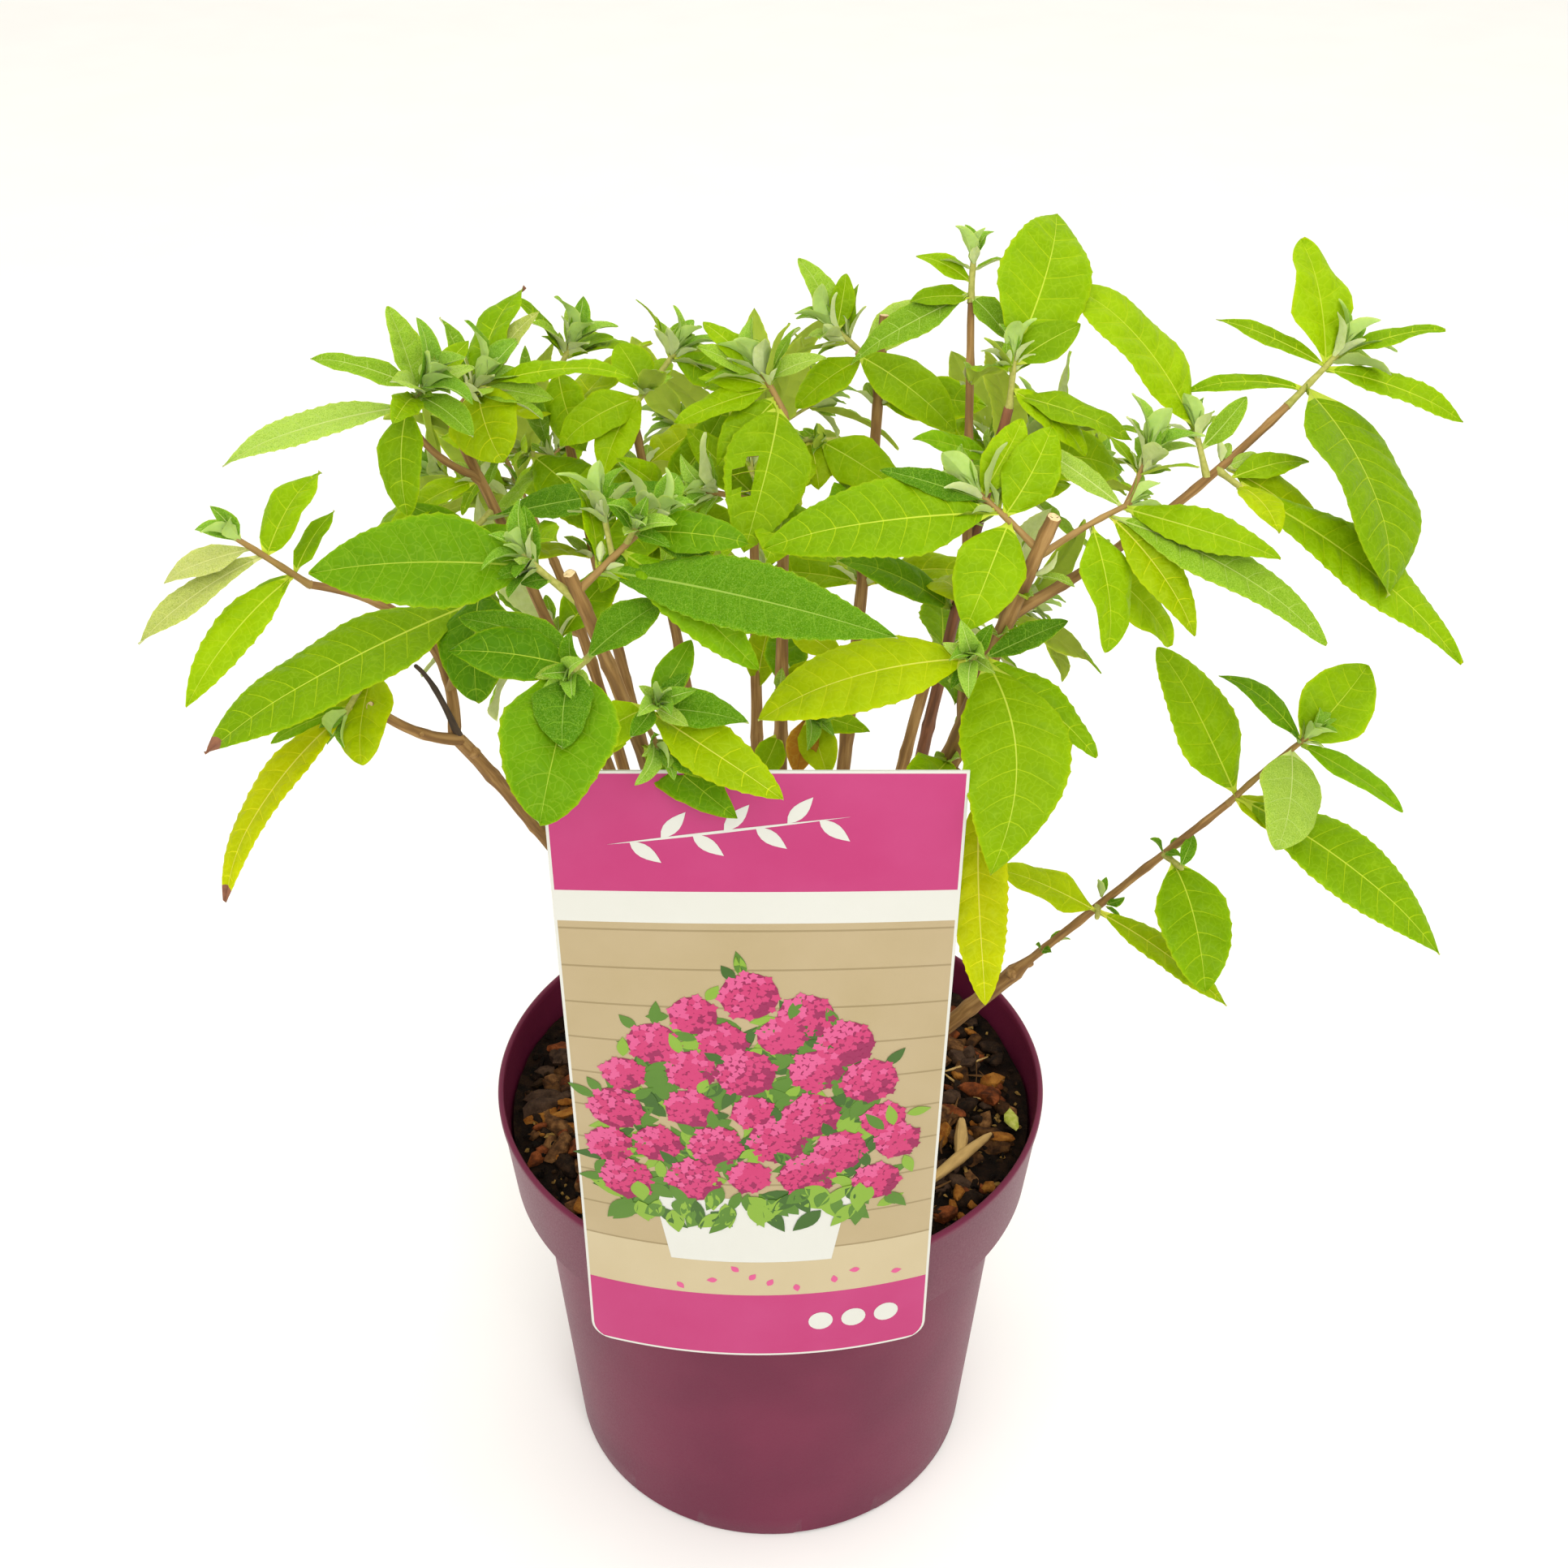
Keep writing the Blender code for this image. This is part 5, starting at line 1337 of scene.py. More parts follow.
def pot_piece(finish):
    shoulder = POT_HEIGHT - COLLAR_DROP
    lip = RIM_RADIUS - LIP_ROUND
    top = POT_HEIGHT - LIP_ROUND
    profile = [
        (0.0, 1.0), (FOOT_RADIUS - 7.0, 1.0), (FOOT_RADIUS - 6.2, 0.0), (FOOT_RADIUS - 1.0, 0.0),
        (FOOT_RADIUS - 0.2, 0.3), (FOOT_RADIUS + 0.1, 1.0), (FOOT_RADIUS + 0.25, 1.35),
    ]
    for step in range(1, 15):
        part = step / 14
        profile.append((
            radius_at(FOOT_RADIUS + 0.25, BODY_TOP_RADIUS, part), radius_at(1.35, shoulder - 1.8, part),
        ))
    profile += [
        (BODY_TOP_RADIUS + 0.4, shoulder - 0.9), (BODY_TOP_RADIUS + 1.4, shoulder - 0.4),
        (COLLAR_FOOT_RADIUS - 1.6, shoulder), (COLLAR_FOOT_RADIUS - 0.6, shoulder + 0.3),
        (COLLAR_FOOT_RADIUS, shoulder + 1.3), (RIM_RADIUS - 0.6, POT_HEIGHT - 3.6),
        (RIM_RADIUS - 0.1, POT_HEIGHT - 3.0),
    ]
    for step in range(7):
        turn = math.pi / 2 * step / 6
        profile.append((lip + LIP_ROUND * math.cos(turn), top + LIP_ROUND * math.sin(turn)))
    profile += [
        (lip - 0.5, POT_HEIGHT - 0.1), (lip - 0.9, POT_HEIGHT - 0.7), (RIM_RADIUS - 2.2, POT_HEIGHT - 3.0),
        (COLLAR_FOOT_RADIUS - WALL, shoulder + 2.2), (BODY_TOP_RADIUS - WALL, shoulder - 0.2),
        (FOOT_RADIUS - WALL, FLOOR), (0.0, FLOOR),
    ]
    heap = Heap("nursery_pot")
    heap.add(*turned(profile, FOOT_PADS * 40, foot_lift), finish)
    pot = heap.piece()
    holes = Heap("drain_holes")
    for step in range(DRAIN_HOLES):
        angle = math.tau * (step + 0.5) / DRAIN_HOLES
        centre = Vector((math.cos(angle), math.sin(angle), 0)) * (FOOT_RADIUS * 0.62)
        ends = [centre + Vector((0, 0, height)) for height in (-3.0, FLOOR + 2.0)]
        corners, faces, _ = tube(ends, (5.0, 5.0), 28)
        holes.add(corners, faces, finish)
    cutter = holes.piece(smooth=False)
    cut = pot.modifiers.new("drain", "BOOLEAN")
    cut.operation = "DIFFERENCE"
    cut.solver = "EXACT"
    cut.object = cutter
    settle(pot)
    bpy.data.objects.remove(cutter)
    pot.data.set_sharp_from_angle(angle=math.radians(38))
    return pot


# Compost

def soil_height(radius, height, angle):
    """Small heaps and hollows of the compost, which is heaped up a little in the pot."""
    if height < SOIL_LEVEL - 1.0:
        return 0.0
    spot = Vector((radius * math.cos(angle), radius * math.sin(angle), 0))
    rough = noise.noise(spot / 17) + 0.6 * noise.noise(spot / 5) + 0.4 * noise.noise(spot / 2)
    return SOIL_HEAP + SOIL_UNEVEN * rough


def soil_piece(finish):
    shoulder = POT_HEIGHT - COLLAR_DROP
    edge = COLLAR_FOOT_RADIUS - 0.6
    profile = [
        (0.0, FLOOR + GAP), (FOOT_RADIUS - WALL - 0.5, FLOOR + GAP),
        (BODY_TOP_RADIUS - WALL - 0.6, shoulder - 0.4), (COLLAR_FOOT_RADIUS - WALL - 0.5, shoulder + 2.6),
        (edge, SOIL_LEVEL - 1.5),
    ]
    profile += [(edge * (1 - step / 60), SOIL_LEVEL) for step in range(60)] + [(0.0, SOIL_LEVEL)]
    heap = Heap("compost_fill")
    heap.add(*turned(profile, 180, soil_height), finish)
    return heap.piece()


def chip_shape(size, thick, spot, rng, levels, count):
    """A worn lump of bark: an uneven outline, flatter than it is wide."""
    long = rng.uniform(1.1, 2.2)
    tilt = Matrix.Rotation(rng.uniform(0, math.tau), 3, "Z")
    tilt = tilt @ Matrix.Rotation(rng.uniform(-0.6, 0.6), 3, "X") @ Matrix.Rotation(rng.uniform(-0.5, 0.5), 3, "Y")
    corners = []
    for level, share in levels:
        for step in range(count):
            angle = math.tau * (step + 0.25 * math.sin(step * 2.3 + size)) / count
            way = Vector((math.cos(angle) * long, math.sin(angle), level))
            wide = 0.5 * size * share * (1.0 + 0.6 * noise.noise(way * 1.2 + spot))
            height = thick * (level + 0.3 * noise.noise(way * 1.7 + spot))
            corners.append(spot + tilt @ Vector((way.x * wide, way.y * wide, height)))
    last = len(corners) - count
    faces = [tuple(reversed(range(count))), tuple(range(last, last + count))]
    for ring in range(len(levels) - 1):
        for step in range(count):
            here, after = ring * count + step, ring * count + (step + 1) % count
            faces.append((here, after, after + count, here + count))
    return corners, faces


def scatter_spot(rng, reach, height):
    radius = reach * math.sqrt(rng.random())
    angle = rng.uniform(0, math.tau)
    top = soil_height(radius, SOIL_LEVEL, angle)
    return Vector((radius * math.cos(angle), radius * math.sin(angle), SOIL_LEVEL + top + height))


def litter_pieces(finishes):
    """Bark lumps, crumbs and plant fibres that lie on the compost."""
    rng = random.Random(f"{SEED} litter")
    reach = COLLAR_FOOT_RADIUS - 3.0
    chips = Heap("bark_flakes")
    for _ in range(CHIP_COUNT):
        size = 3.4 + 5.6 * rng.random() ** 1.6
        thick = rng.uniform(0.4, 0.7) * size
        spot = scatter_spot(rng, reach - size * 0.6, 0.1 * size + rng.uniform(-0.4, 2.6))
        lump = chip_shape(size, thick, spot, rng, LUMP_LEVELS, rng.randint(7, 9))
        chips.add(*lump, rng.choice(finishes["chips"]))
    for _ in range(CRUMB_COUNT):
        size = 0.9 + 2.2 * rng.random() ** 2
        spot = scatter_spot(rng, reach, rng.uniform(0.0, 1.6))
        lump = chip_shape(size, size * 0.8, spot, rng, CRUMB_LEVELS, 6)
        chips.add(*lump, rng.choice(finishes["crumbs"]))
    scrap = chip_shape(5.0, 1.6, Vector(LEAF_SCRAP), rng, LUMP_LEVELS, 8)
    chips.add(*scrap, finishes["scrap"])
    fibres = Heap("plant_fibres")
    for _ in range(FIBRE_COUNT):
        spot = scatter_spot(rng, reach - 10, rng.uniform(2.2, 4.2))
        way = heading(rng.uniform(0, 360), rng.uniform(-8, 8))
        aside = Vector((rng.uniform(-1, 1), rng.uniform(-1, 1), 0.2))
        length = rng.uniform(5, 19)
        thick = rng.uniform(0.18, 0.5)
        points = [spot + way * (length * (part - 0.5)) + aside * (4 * part * (1 - part)) for part in (0, 0.25, 0.5, 0.75, 1)]
        corners, faces, grain = tube(points, [thick * share for share in (0.5, 1, 1, 0.9, 0.4)], 6)
        fibres.add(corners, faces, rng.choice(finishes["fibres"]), grain)
    # A forked chip of pale wood at the right of the label
    for start, end in FORKED_CHIP:
        start, end = Vector(start), Vector(end)
        points = [start.lerp(end, part) + Vector((0.5, 0.4, 1.6)) * (part * (1 - part)) for part in (0, 0.2, 0.45, 0.7, 0.9, 1)]
        corners, faces, grain = tube(points, (1.5, 2.0, 2.4, 1.9, 1.4, 0.6), 10, relief=1.0)
        fibres.add(corners, faces, finishes["fibres"][0], grain)
    return chips.piece(), fibres.piece()


# Label

def label_half_width(height):
    """Half of the label's width; the two lower corners are rounded."""
    share = (height - LABEL_FOOT) / (LABEL_TOP - LABEL_FOOT)
    half = LABEL_HALF_FOOT + (LABEL_HALF_TOP - LABEL_HALF_FOOT) * share
    rise = height - LABEL_FOOT
    if rise < LABEL_CORNER:
        half -= LABEL_CORNER - math.sqrt(LABEL_CORNER ** 2 - (LABEL_CORNER - rise) ** 2)
    return half


def label_bow(height):
    """How far the label's edges stand behind its middle at a height."""
    share = max(0.0, min(1.0, (height - POT_HEIGHT) / (LABEL_TOP - POT_HEIGHT)))
    return LABEL_BOW * (1.0 - share * share * (3.0 - 2.0 * share))


def label_spot(across, height, lift):
    """A point on the label's face; lift stands it off toward the viewer's side."""
    face = -(RIM_RADIUS + GAP + LABEL_THICK)
    back = face + label_bow(height) * (across / LABEL_HALF_FOOT) ** 2 - lift
    return Vector((LABEL_CENTRE + across, back, height))


def label_finish(height, inks):
    """Ink of the printed face at a height."""
    if height > HEADER_FOOT or height < BAND_TOP:
        return inks["magenta"]
    if height > STRIP_FOOT:
        return inks["white"]
    if height < SILL_TOP:
        return inks["cream"]
    return inks["groove"] if (height - SILL_TOP) % BOARD_HEIGHT < 0.7 else inks["board"]


def label_sheet(heap, inks):
    curl = [LABEL_FOOT + LABEL_CORNER * share for share in (0.0, 0.04, 0.12, 0.25, 0.45, 0.7, 1.0)]
    levels = {LABEL_FOOT + LABEL_EDGE, LABEL_TOP - LABEL_EDGE, LABEL_TOP, HEADER_FOOT, STRIP_FOOT, SILL_TOP, BAND_TOP}
    board = SILL_TOP
    while board < STRIP_FOOT - 1:
        levels |= {board, board + 0.7}
        board += BOARD_HEIGHT
    levels |= {LABEL_FOOT + 12 + 8 * step for step in range(27)}
    heights = sorted(set(curl) | levels)
    shares = [-1.0, -1 + LABEL_EDGE / LABEL_HALF_FOOT]
    shares += [-1 + 2 * step / 32 for step in range(1, 32)] + [1 - LABEL_EDGE / LABEL_HALF_FOOT, 1.0]
    across = len(shares)
    corners = []
    for lift in (0.0, -LABEL_THICK):
        for height in heights:
            corners += [label_spot(share * label_half_width(height), height, lift) for share in shares]
    layer = across * len(heights)
    faces, kinds = [], []
    for row in range(len(heights) - 1):
        middle = (heights[row] + heights[row + 1]) / 2
        for column in range(across - 1):
            here = row * across + column
            edge = column in (0, across - 2) or middle < LABEL_FOOT + LABEL_EDGE or middle > LABEL_TOP - LABEL_EDGE
            faces.append((here, here + 1, here + 1 + across, here + across))
            kinds.append(inks["white"] if edge else label_finish(middle, inks))
            back = here + layer
            faces.append((back + across, back + 1 + across, back + 1, back))
            kinds.append(inks["white"])
        left, right = row * across, row * across + across - 1
        faces.append((left, left + across, left + across + layer, left + layer))
        faces.append((right + layer, right + across + layer, right + across, right))
        kinds += [inks["white"]] * 2
    top = (len(heights) - 1) * across
    for column in range(across - 1):
        faces.append((column + layer, column + 1 + layer, column + 1, column))
        faces.append((top + column, top + column + 1, top + column + 1 + layer, top + column + layer))
        kinds += [inks["white"]] * 2
    heap.add(corners, faces, kinds)


def label_tongue(heap, inks):
    """The strip, folded over the rim, that the label hangs by."""
    face = -(RIM_RADIUS + GAP)
    over = POT_HEIGHT + GAP
    inside = -(RIM_RADIUS - 5.2)
    low = SOIL_LEVEL + SOIL_HEAP
    outline = [
        (face - 0.2, over + 6.0), (face - 0.2, over + 0.3), (face, over), (inside - 0.3, over),
        (inside - 0.1, over - 0.4), (inside + 1.2, low), (inside + 1.2 + TONGUE_THICK, low),
        (inside + TONGUE_THICK, over + 0.3), (inside + TONGUE_THICK - 0.5, over + TONGUE_THICK),
        (face + TONGUE_THICK + 0.6, over + TONGUE_THICK), (face + TONGUE_THICK, over + 1.6),
        (face + TONGUE_THICK, over + 6.0),
    ]
    count = len(outline)
    corners = []
    for share in (-1.0, -0.5, 0.0, 0.5, 1.0):
        across = share * TONGUE_WIDTH / 2
        bow = label_bow(over) * (across / LABEL_HALF_FOOT) ** 2
        corners += [Vector((LABEL_CENTRE + across, back + bow, height)) for back, height in outline]
    faces = [tuple(reversed(range(count))), tuple(range(4 * count, 5 * count))]
    for ring in range(4):
        for step in range(count):
            here, after = ring * count + step, ring * count + (step + 1) % count
            faces.append((here, after, after + count, here + count))
    heap.add(corners, faces, inks["white"])


def print_shape(heap, outline, centre, lift, ink):
    """A thin printed shape on the label: outline points round a centre, all in its plane."""
    count = len(outline)
    corners = [label_spot(*centre, lift)] + [label_spot(*spot, lift) for spot in outline]
    corners += [label_spot(*spot, lift - 0.05) for spot in outline] + [label_spot(*centre, lift - 0.05)]
    faces = []
    for step in range(count):
        here, after = 1 + step, 1 + (step + 1) % count
        faces += [(0, here, after), (here, here + count, after + count, after), (2 * count + 1, after + count, here + count)]
    heap.add(corners, faces, ink)


def print_leaf(heap, spot, angle, length, width, lift, ink):
    """A pointed leaf on the label, from its stalk outward."""
    way = (math.cos(angle), math.sin(angle))
    outline = []
    for side in (1, -1):
        for step in range(6):
            part = step / 6 if side > 0 else 1 - step / 6
            wide = -side * width / 2 * math.sin(math.pi * part ** 0.85)
            reach = length * part
            outline.append((spot[0] + way[0] * reach - way[1] * wide, spot[1] + way[1] * reach + way[0] * wide))
    middle = (spot[0] + way[0] * length / 2, spot[1] + way[1] * length / 2)
    print_shape(heap, outline, middle, lift, ink)


def print_bloom(heap, spot, radius, lift, inks, rng):
    """A round flower head made of many small five-lobed flowers."""
    ring = []
    for step in range(20):
        turn = step * math.tau / 20
        ring.append((spot[0] + radius * 0.94 * math.cos(turn), spot[1] + radius * 0.94 * math.sin(turn)))
    print_shape(heap, ring, spot, lift, inks["deep_pink"])
    count = round(radius * 4.6)
    for step in range(count):
        reach = radius * 0.93 * math.sqrt((step + 0.5) / count)
        angle = step * 2.39996
        centre = (spot[0] + reach * math.cos(angle), spot[1] + reach * math.sin(angle))
        size = rng.uniform(1.3, 1.8)
        spin = rng.uniform(0, 1.2)
        petals = []
        for point in range(10):
            turn = spin + point * math.tau / 10
            wide = size if point % 2 == 0 else size * 0.66
            petals.append((centre[0] + wide * math.cos(turn), centre[1] + wide * math.sin(turn)))
        # Flowers toward the upper left catch more light
        lit = (centre[1] - centre[0] - spot[1] + spot[0]) / radius + rng.uniform(-0.7, 0.7)
        ink = inks["light_pink" if lit > 0.5 else "pink" if lit > -0.9 else "deep_pink"]
        print_shape(heap, petals, centre, lift + 0.03 + 0.003 * (step % 7), ink)


def label_piece(inks):
    heap = Heap("hanging_label")
    label_sheet(heap, inks)
    label_tongue(heap, inks)
    rng = random.Random(f"{SEED} label")
    # A low bush of round blossoms that stands on the sill
    for step in range(230):
        angle = rng.uniform(-0.15, math.pi + 0.15)
        reach = math.sqrt(rng.random())
        spot = (-2.0 + 41 * reach * math.cos(angle), 197.0 + 70 * reach * math.sin(angle))
        way = angle + rng.uniform(-1.2, 1.2)
        print_leaf(heap, spot, way, rng.uniform(9, 15), rng.uniform(4, 6), 0.04 + 0.0004 * step, inks[rng.choice(LEAF_INKS)])
    rows = ((5, 203.0, 37.0), (6, 217.0, 44.0), (5, 231.0, 39.0), (5, 245.0, 36.0), (4, 259.0, 26.0), (3, 272.0, 15.0))
    for row, (count, height, reach) in enumerate(reversed(rows)):
        for step in range(count):
            share = 2 * step / (count - 1) - 1
            spot = (-2.0 + share * reach + rng.uniform(-2, 2), height + rng.uniform(-3, 3) - 4 * share * share)
            lift = 0.14 + 0.026 * row + 0.006 * (step % 3)
            print_bloom(heap, spot, rng.uniform(6.6, 9.4), lift, inks, rng)
            for turn in range(3):
                way = rng.uniform(0, math.tau)
                beside = (spot[0] + 7 * math.cos(way), spot[1] + 7 * math.sin(way))
                print_leaf(heap, beside, way, rng.uniform(6, 10), 3.6, lift + 0.02, inks[rng.choice(LEAF_INKS)])
    for step in range(46):
        spot = (-40.0 + 1.65 * step + rng.uniform(-2, 2), rng.uniform(188, 200))
        way = rng.uniform(-2.6, -0.5)
        print_leaf(heap, spot, way, rng.uniform(7, 13), rng.uniform(4, 6), 0.33 + 0.001 * step, inks[rng.choice(LEAF_INKS)])
    # A plain white trough under the bush, drawn in strips that follow the label's bow
    for step in range(14):
        left, right = step / 7 - 1, (step + 1) / 7 - 1
        middle = (left + right) / 2
        for low, low_half, high, high_half in ((167, 25, 190, 29), (190, 32, 194.5, 32)):
            strip = ((low_half * left - 2, low), (low_half * right - 2, low), (high_half * right - 2, high), (high_half * left - 2, high))
            print_shape(heap, strip, (high_half * middle - 2, (low + high) / 2), 0.1, inks["white"])
    for step in range(9):
        spot = (rng.uniform(-44, 44), rng.uniform(155, 163))
        print_leaf(heap, spot, rng.uniform(0, 6.2), 3.4, 2.2, 0.06, inks["light_pink"])
    for step in range(7):
        print_leaf(heap, (-34.0 + 8.5 * step, 329.0 + 1.2 * step), 0.9 if step % 2 else -0.7, 11, 4.2, 0.08, inks["white"])
    print_leaf(heap, (-40.0, 328.0), 0.14, 66, 0.9, 0.08, inks["white"])
    for step in range(3):
        spot = (20.0 + 10.5 * step, 139.0)
        disc = []
        for turn in range(20):
            angle = turn * math.tau / 20
            disc.append((spot[0] + 3.9 * math.cos(angle), spot[1] + 3.9 * math.sin(angle)))
        print_shape(heap, disc, spot, 0.08, inks["white"])
    return heap.piece(smooth=False)


# Whole plant

def side_of(name):
    """Part of the crown that a shoot belongs to."""
    for word, part in (("back", "back"), ("rear", "rear"), ("left", "left"), ("right", "right")):
        if word in name:
            return part
    return "middle"


def plant_pieces(limbs, finishes, barks):
    leaves, twigs, nodes = {}, Heap("young_twigs"), {}
    for name in SHOOTS:
        side = side_of(name)
        heap = leaves.setdefault(side, Heap(f"leaves_of_{side}"))
        nodes.setdefault(side, []).append(name)
        rng = random.Random(f"{SEED} shape {name}")
        own_twigs, own_leaves = grow_shoot(name, limbs)
        change = TONE_KINDS[SPRAY_TONES.get(name, "light")]
        for item in own_leaves:
            item["kind"] = change.get(item["kind"], item["kind"])
            heap.add(*blade(item, finishes, rng))
        for twig in own_twigs:
            corners, faces, grain = twig_tube(twig, rng)
            twigs.add(corners, faces, rng.choice(barks["young"]), grain)
    growth = Heap("leaves_on_stems")
    for name in limbs:
        rng = random.Random(f"{SEED} joint shape {name}")
        for item in limb_growth(name, limbs):
            growth.add(*blade(item, finishes, rng))
    rng = random.Random(f"{SEED} stem leaves")
    for limb, place, azimuth, rise, length, width, kind in STEM_LEAVES:
        path, low, high = limbs[limb]
        base, direction = point_on(path, place)[0], heading(azimuth, rise)
        root = base + direction * (0.8 * radius_at(low, high, place))
        growth.add(*blade(leaf(root, direction, outward_guide(base), length, width, kind, rng), finishes, rng))
    made = []
    for side, heap in leaves.items():
        piece = heap.piece()
        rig.replaces(piece, *nodes[side])
        made.append((piece, "foliage"))
    made.append((twigs.piece(), "bark"))
    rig.replaces(made[-1][0], *SHOOTS)
    made.append((growth.piece(), "foliage"))
    for name in limbs:
        heap = Heap(f"bark_of_{name}")
        heap.add(*limb_shape(name, limbs, barks))
        for limb, place, size in KNOBS:
            if limb == name:
                corners, faces, grain = knob_shape(limb, place, size, limbs)
                heap.add(corners, faces, barks["tan"], grain)
        piece = heap.piece()
        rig.replaces(piece, name)
        made.append((piece, "bark"))
    return made


def bark_finishes():
    """Bark, wood and twig skin."""
    # Two-year shoots: thin tan bark that splits lengthwise into flat fibres, dull and dry
    tan = surface("flaky_tan_bark", ("76542A", "8A6634", "A07C48"), (0.75, 0.92), 1.3, 0.5, 0.16, stretch=12.0)
    red = surface("red_brown_bark", ("5E3820", "744628", "885434"), (0.6, 0.8), 1.3, 0.5, 0.12, stretch=12.0)
    dead = surface("dead_twig_bark", ("33281E", "4A3A28"), (0.85, 0.95), 1.0, 0.4, 0.14, stretch=8.0)
    wood = surface("cut_wood", ("D2B784", "E0C998"), (0.7, 0.85), 1.0, 0.35, 0.06)
    pith = surface("soft_pith", ("E8DDBE", "DCCB9C"), (0.9, 0.98), 0.8, 0.3, 0.08)
    young = [
        surface("felted_young_twig", ("9A9A44", "AEAC58"), (0.75, 0.9), 1.2, 0.4, 0.06),
        surface("tan_young_twig", ("8A6A34", "9C7C40"), (0.6, 0.75), 1.2, 0.4, 0.06, stretch=6.0),
    ]
    return {"tan": tan, "red": red, "dead": dead, "wood": wood, "pith": pith, "young": young}


def stand_floor():
    """A wide pale floor under the pot."""
    mesh = bpy.data.meshes.new("studio_floor")
    half, level = 3.0, -0.0002
    mesh.from_pydata([(-half, -half, level), (half, -half, level), (half, half, level), (-half, half, level)], [], [(0, 1, 2, 3)])
    mesh.materials.append(surface("matt_white_floor", ("F4F4F2", "F6F6F4"), (0.8, 0.9), 90.0, 4.0, 0.01))
    floor = add_piece("studio_floor", mesh)
    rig.stage(floor)


def add_light(name, spot, target, size, power):
    lamp = bpy.data.lights.new(name, "AREA")
    lamp.size = size
    lamp.energy = power
    item = bpy.data.objects.new(name, lamp)
    item.location = spot
    item.rotation_euler = (Vector(target) - Vector(spot)).to_track_quat("-Z", "Y").to_euler()
    bpy.context.scene.collection.objects.link(item)
    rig.stage(item)


def light_scene():
    world = bpy.data.worlds.new("soft_studio")
    world.use_nodes = True
    world.node_tree.nodes["Background"].inputs["Color"].default_value = (1.0, 0.97, 0.91, 1.0)
    world.node_tree.nodes["Background"].inputs["Strength"].default_value = 1.0
    bpy.context.scene.world = world
    bpy.context.scene.view_settings.view_transform = "Standard"
    add_light("front_light", (0.25, -1.35, 1.35), (0.0, 0.0, 0.25), 0.9, 15.0)
    add_light("key_light", (-0.7, -1.0, 1.7), (0.0, 0.0, 0.25), 1.1, 5.0)
    add_light("top_light", (0.4, 0.3, 1.9), (0.0, 0.0, 0.25), 1.4, 8.0)


def place_camera():
    data = bpy.data.cameras.new("photo_camera")
    data.sensor_width = SENSOR_WIDTH
    data.lens = FOCAL_PIXELS * SENSOR_WIDTH / PHOTO_WIDTH
    data.shift_x = (PHOTO_WIDTH / 2 - IMAGE_CENTRE_X) / PHOTO_WIDTH
    item = bpy.data.objects.new("photo_camera", data)
    turn = math.radians(RIM_ANGLE)
    away = Vector((0.0, -math.cos(turn), math.sin(turn))) * (RIM_DISTANCE * MM)
    item.location = Vector((0.0, 0.0, POT_HEIGHT * MM)) + away
    item.rotation_euler = (math.pi / 2 - math.radians(CAMERA_TILT), 0.0, 0.0)
    bpy.context.scene.collection.objects.link(item)
    bpy.context.scene.camera = item


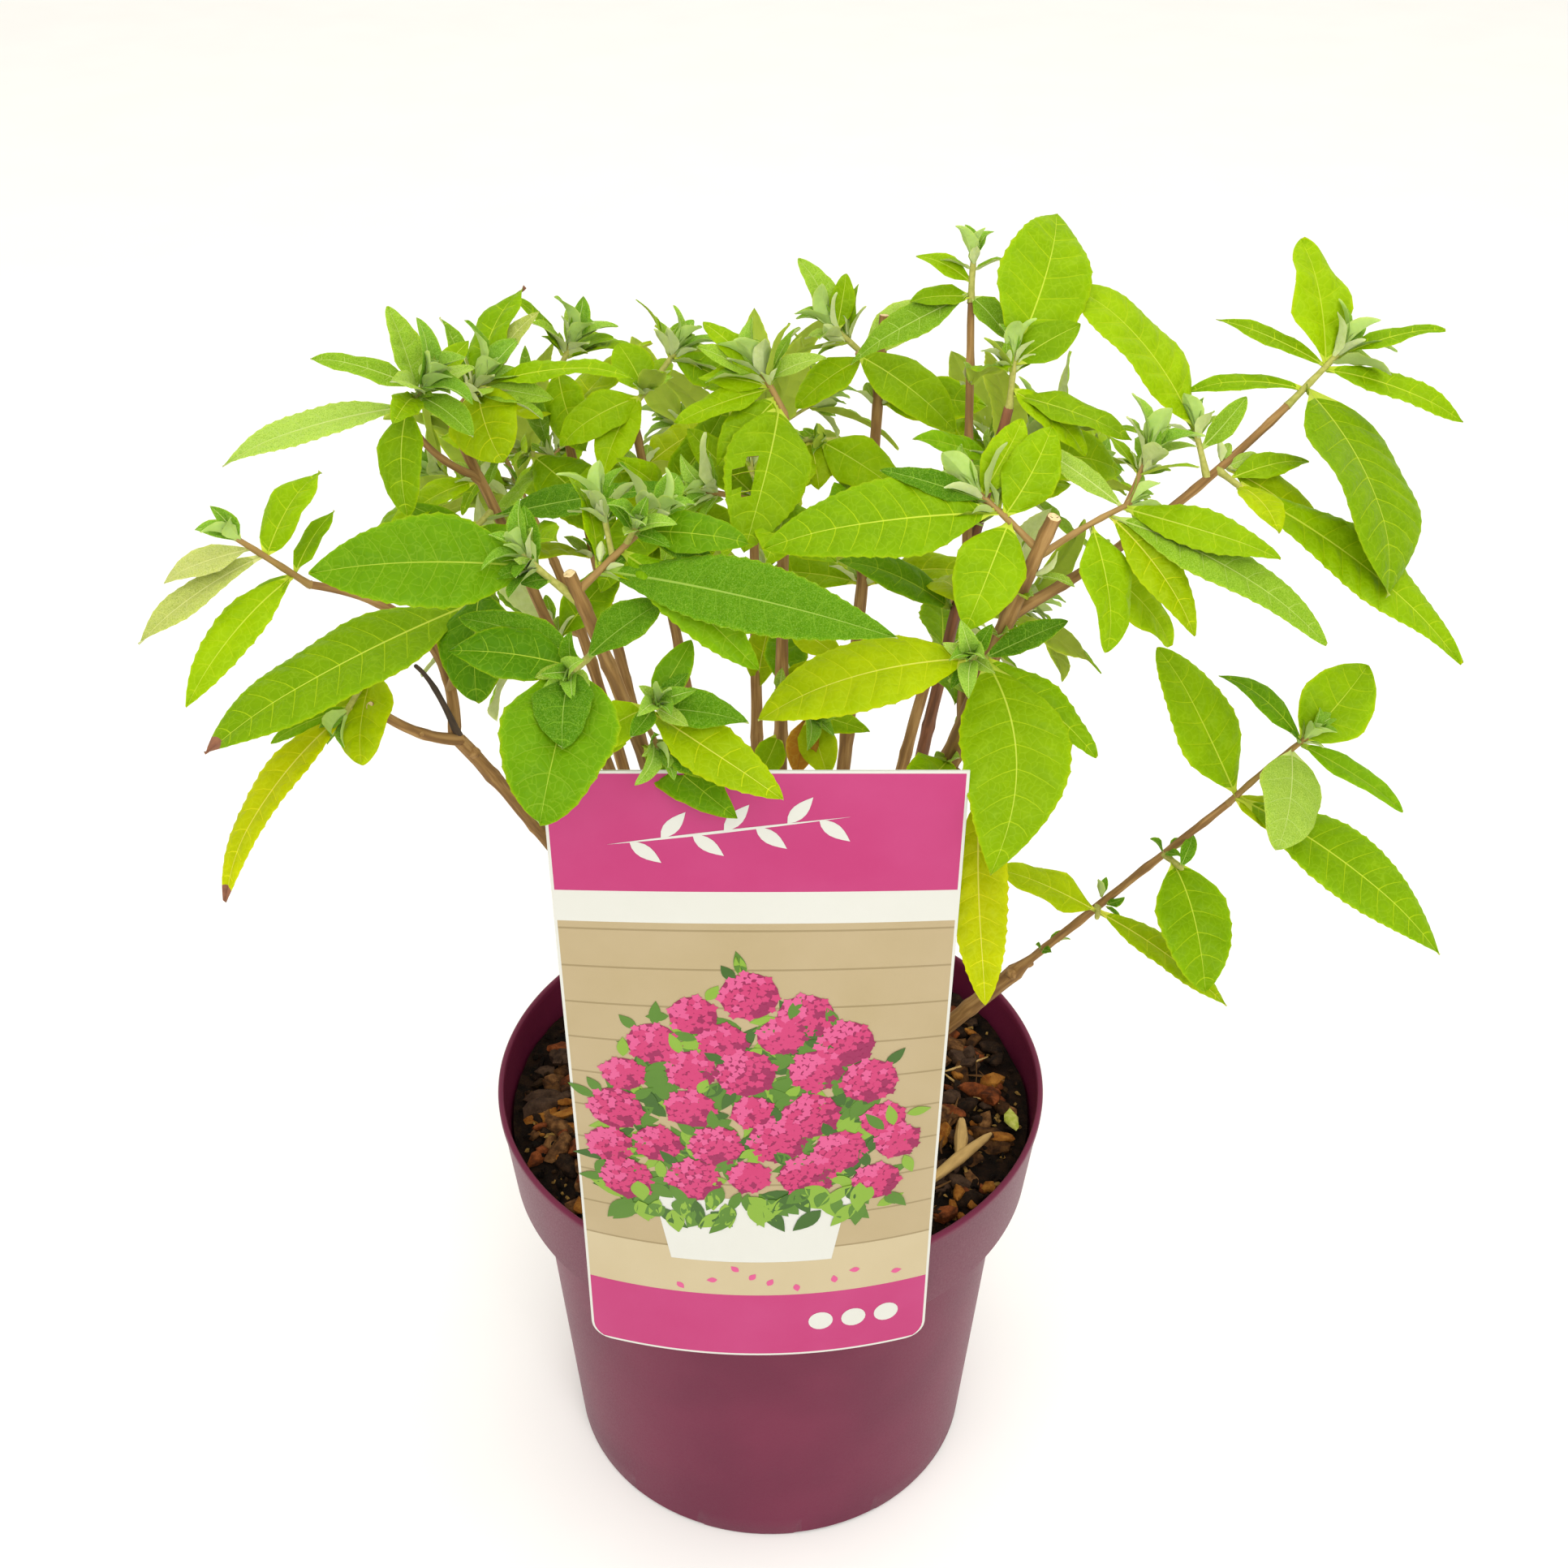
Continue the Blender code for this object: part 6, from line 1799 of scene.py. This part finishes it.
def main():
    limbs = all_limbs()
    finishes = leaf_finishes()
    # A tip dried by frost: thin, curled and matt
    finishes["dry_tip"] = surface("dried_leaf_tip", (DRY_TIP, "8A5A3C"), (0.8, 0.9), 3.0, 0.8, 0.1)
    made = plant_pieces(limbs, finishes, bark_finishes())
    # Injection-moulded polypropylene: satin skin with faint flow marks from the mould
    pot_skin = surface(
        "moulded_polypropylene", ("601A36", "681F3B"), (0.36, 0.46), 40.0, 0.7, 0.02, IOR=1.49, Specular_IOR_Level=0.2,
    )
    pot = pot_piece(pot_skin)
    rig.replaces(pot, "pot")
    # Wet peat between lumps of bark: dark fibrous crumbs with no gloss, made near-black partly as painted shade for the
    # gaps between the lumps
    dull = {"Specular_IOR_Level": 0.12}
    peat = surface("damp_peat_and_painted_gap_shade", ("0A0603", "160D07", "24160C"), (0.85, 0.98), 4.0, 0.9, 0.5, **dull)
    # Composted pine bark: worn lumps, red-brown where freshly split and dark where damp
    litter = {
        "chips": [
            surface("damp_dark_bark", ("140C07", "24170D", "342316"), (0.7, 0.9), 3.0, 0.8, 0.5, **dull),
            surface("damp_brown_bark", ("2A190C", "442A14", "583A1C"), (0.7, 0.9), 3.0, 0.8, 0.5, **dull),
            surface("red_brown_bark_lump", ("42200C", "663214", "824420"), (0.65, 0.85), 3.0, 0.8, 0.5, **dull),
            surface("brown_pine_bark", ("3E2814", "5E3E22", "7E5832"), (0.7, 0.9), 3.0, 0.8, 0.5, **dull),
            surface("grey_brown_bark", ("33241A", "4C382A"), (0.75, 0.92), 3.0, 0.8, 0.5, **dull),
            surface("split_orange_bark", ("7A4614", "9C6828"), (0.65, 0.85), 3.0, 0.8, 0.5, **dull),
        ],
        "crumbs": [
            peat, surface("brown_peat_crumb", ("20140A", "362412"), (0.85, 0.95), 2.0, 0.6, 0.3, **dull),
            surface("black_peat_crumb", ("0A0603", "160E08"), (0.85, 0.95), 2.0, 0.6, 0.3, **dull),
            surface("pale_wood_crumb", ("6E5428", "94743C"), (0.75, 0.9), 2.0, 0.6, 0.2, **dull),
        ],
        "fibres": [
            surface("split_wood_fibre", ("A08048", "BC9A5C"), (0.7, 0.85), 2.0, 0.5, 0.1, stretch=4.0),
            surface("brown_root_fibre", ("4E321A", "684A28"), (0.7, 0.85), 2.0, 0.5, 0.1, stretch=4.0, **dull),
        ],
        "scrap": surface("yellowed_leaf_scrap", ("9CA828", "C0C060"), (0.6, 0.75), 2.0, 0.6, 0.1),
    }
    # The fill shows only in the gaps between lumps, where its near-black peat is partly painted shade
    soil = soil_piece(peat)
    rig.replaces(soil, "soil")
    chips, fibres = litter_pieces(litter)
    made += [(pot, "pot_plastic"), (soil, "compost"), (chips, "compost"), (fibres, "compost")]
    inks = {}
    # Offset print on plastic card under a clear coat: even ink with a soft gloss
    for ink, shade in LABEL_INKS.items():
        inks[ink] = surface(
            f"printed_card_{ink}", (shade, mixed(shade, "FFFFFF", 0.04)), (0.3, 0.38), 30.0, 0.5, 0.006,
            IOR=1.5, Specular_IOR_Level=0.24,
        )
    label = label_piece(inks)
    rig.replaces(label, "label")
    made.append((label, "label_card"))
    for piece, slot in made:
        piece.data.set_sharp_from_angle(angle=math.radians(50))
        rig.ride(piece, "root")
        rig.slot(piece, slot)
    stand_floor()
    light_scene()
    place_camera()


main()
if SIZE_FILE:
    with open(SIZE_FILE, "w") as out:
        json.dump({
            "cad": [list(corner) for corner in cad_box],
            "scene": [list(corner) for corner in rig.bounds()],
        }, out)
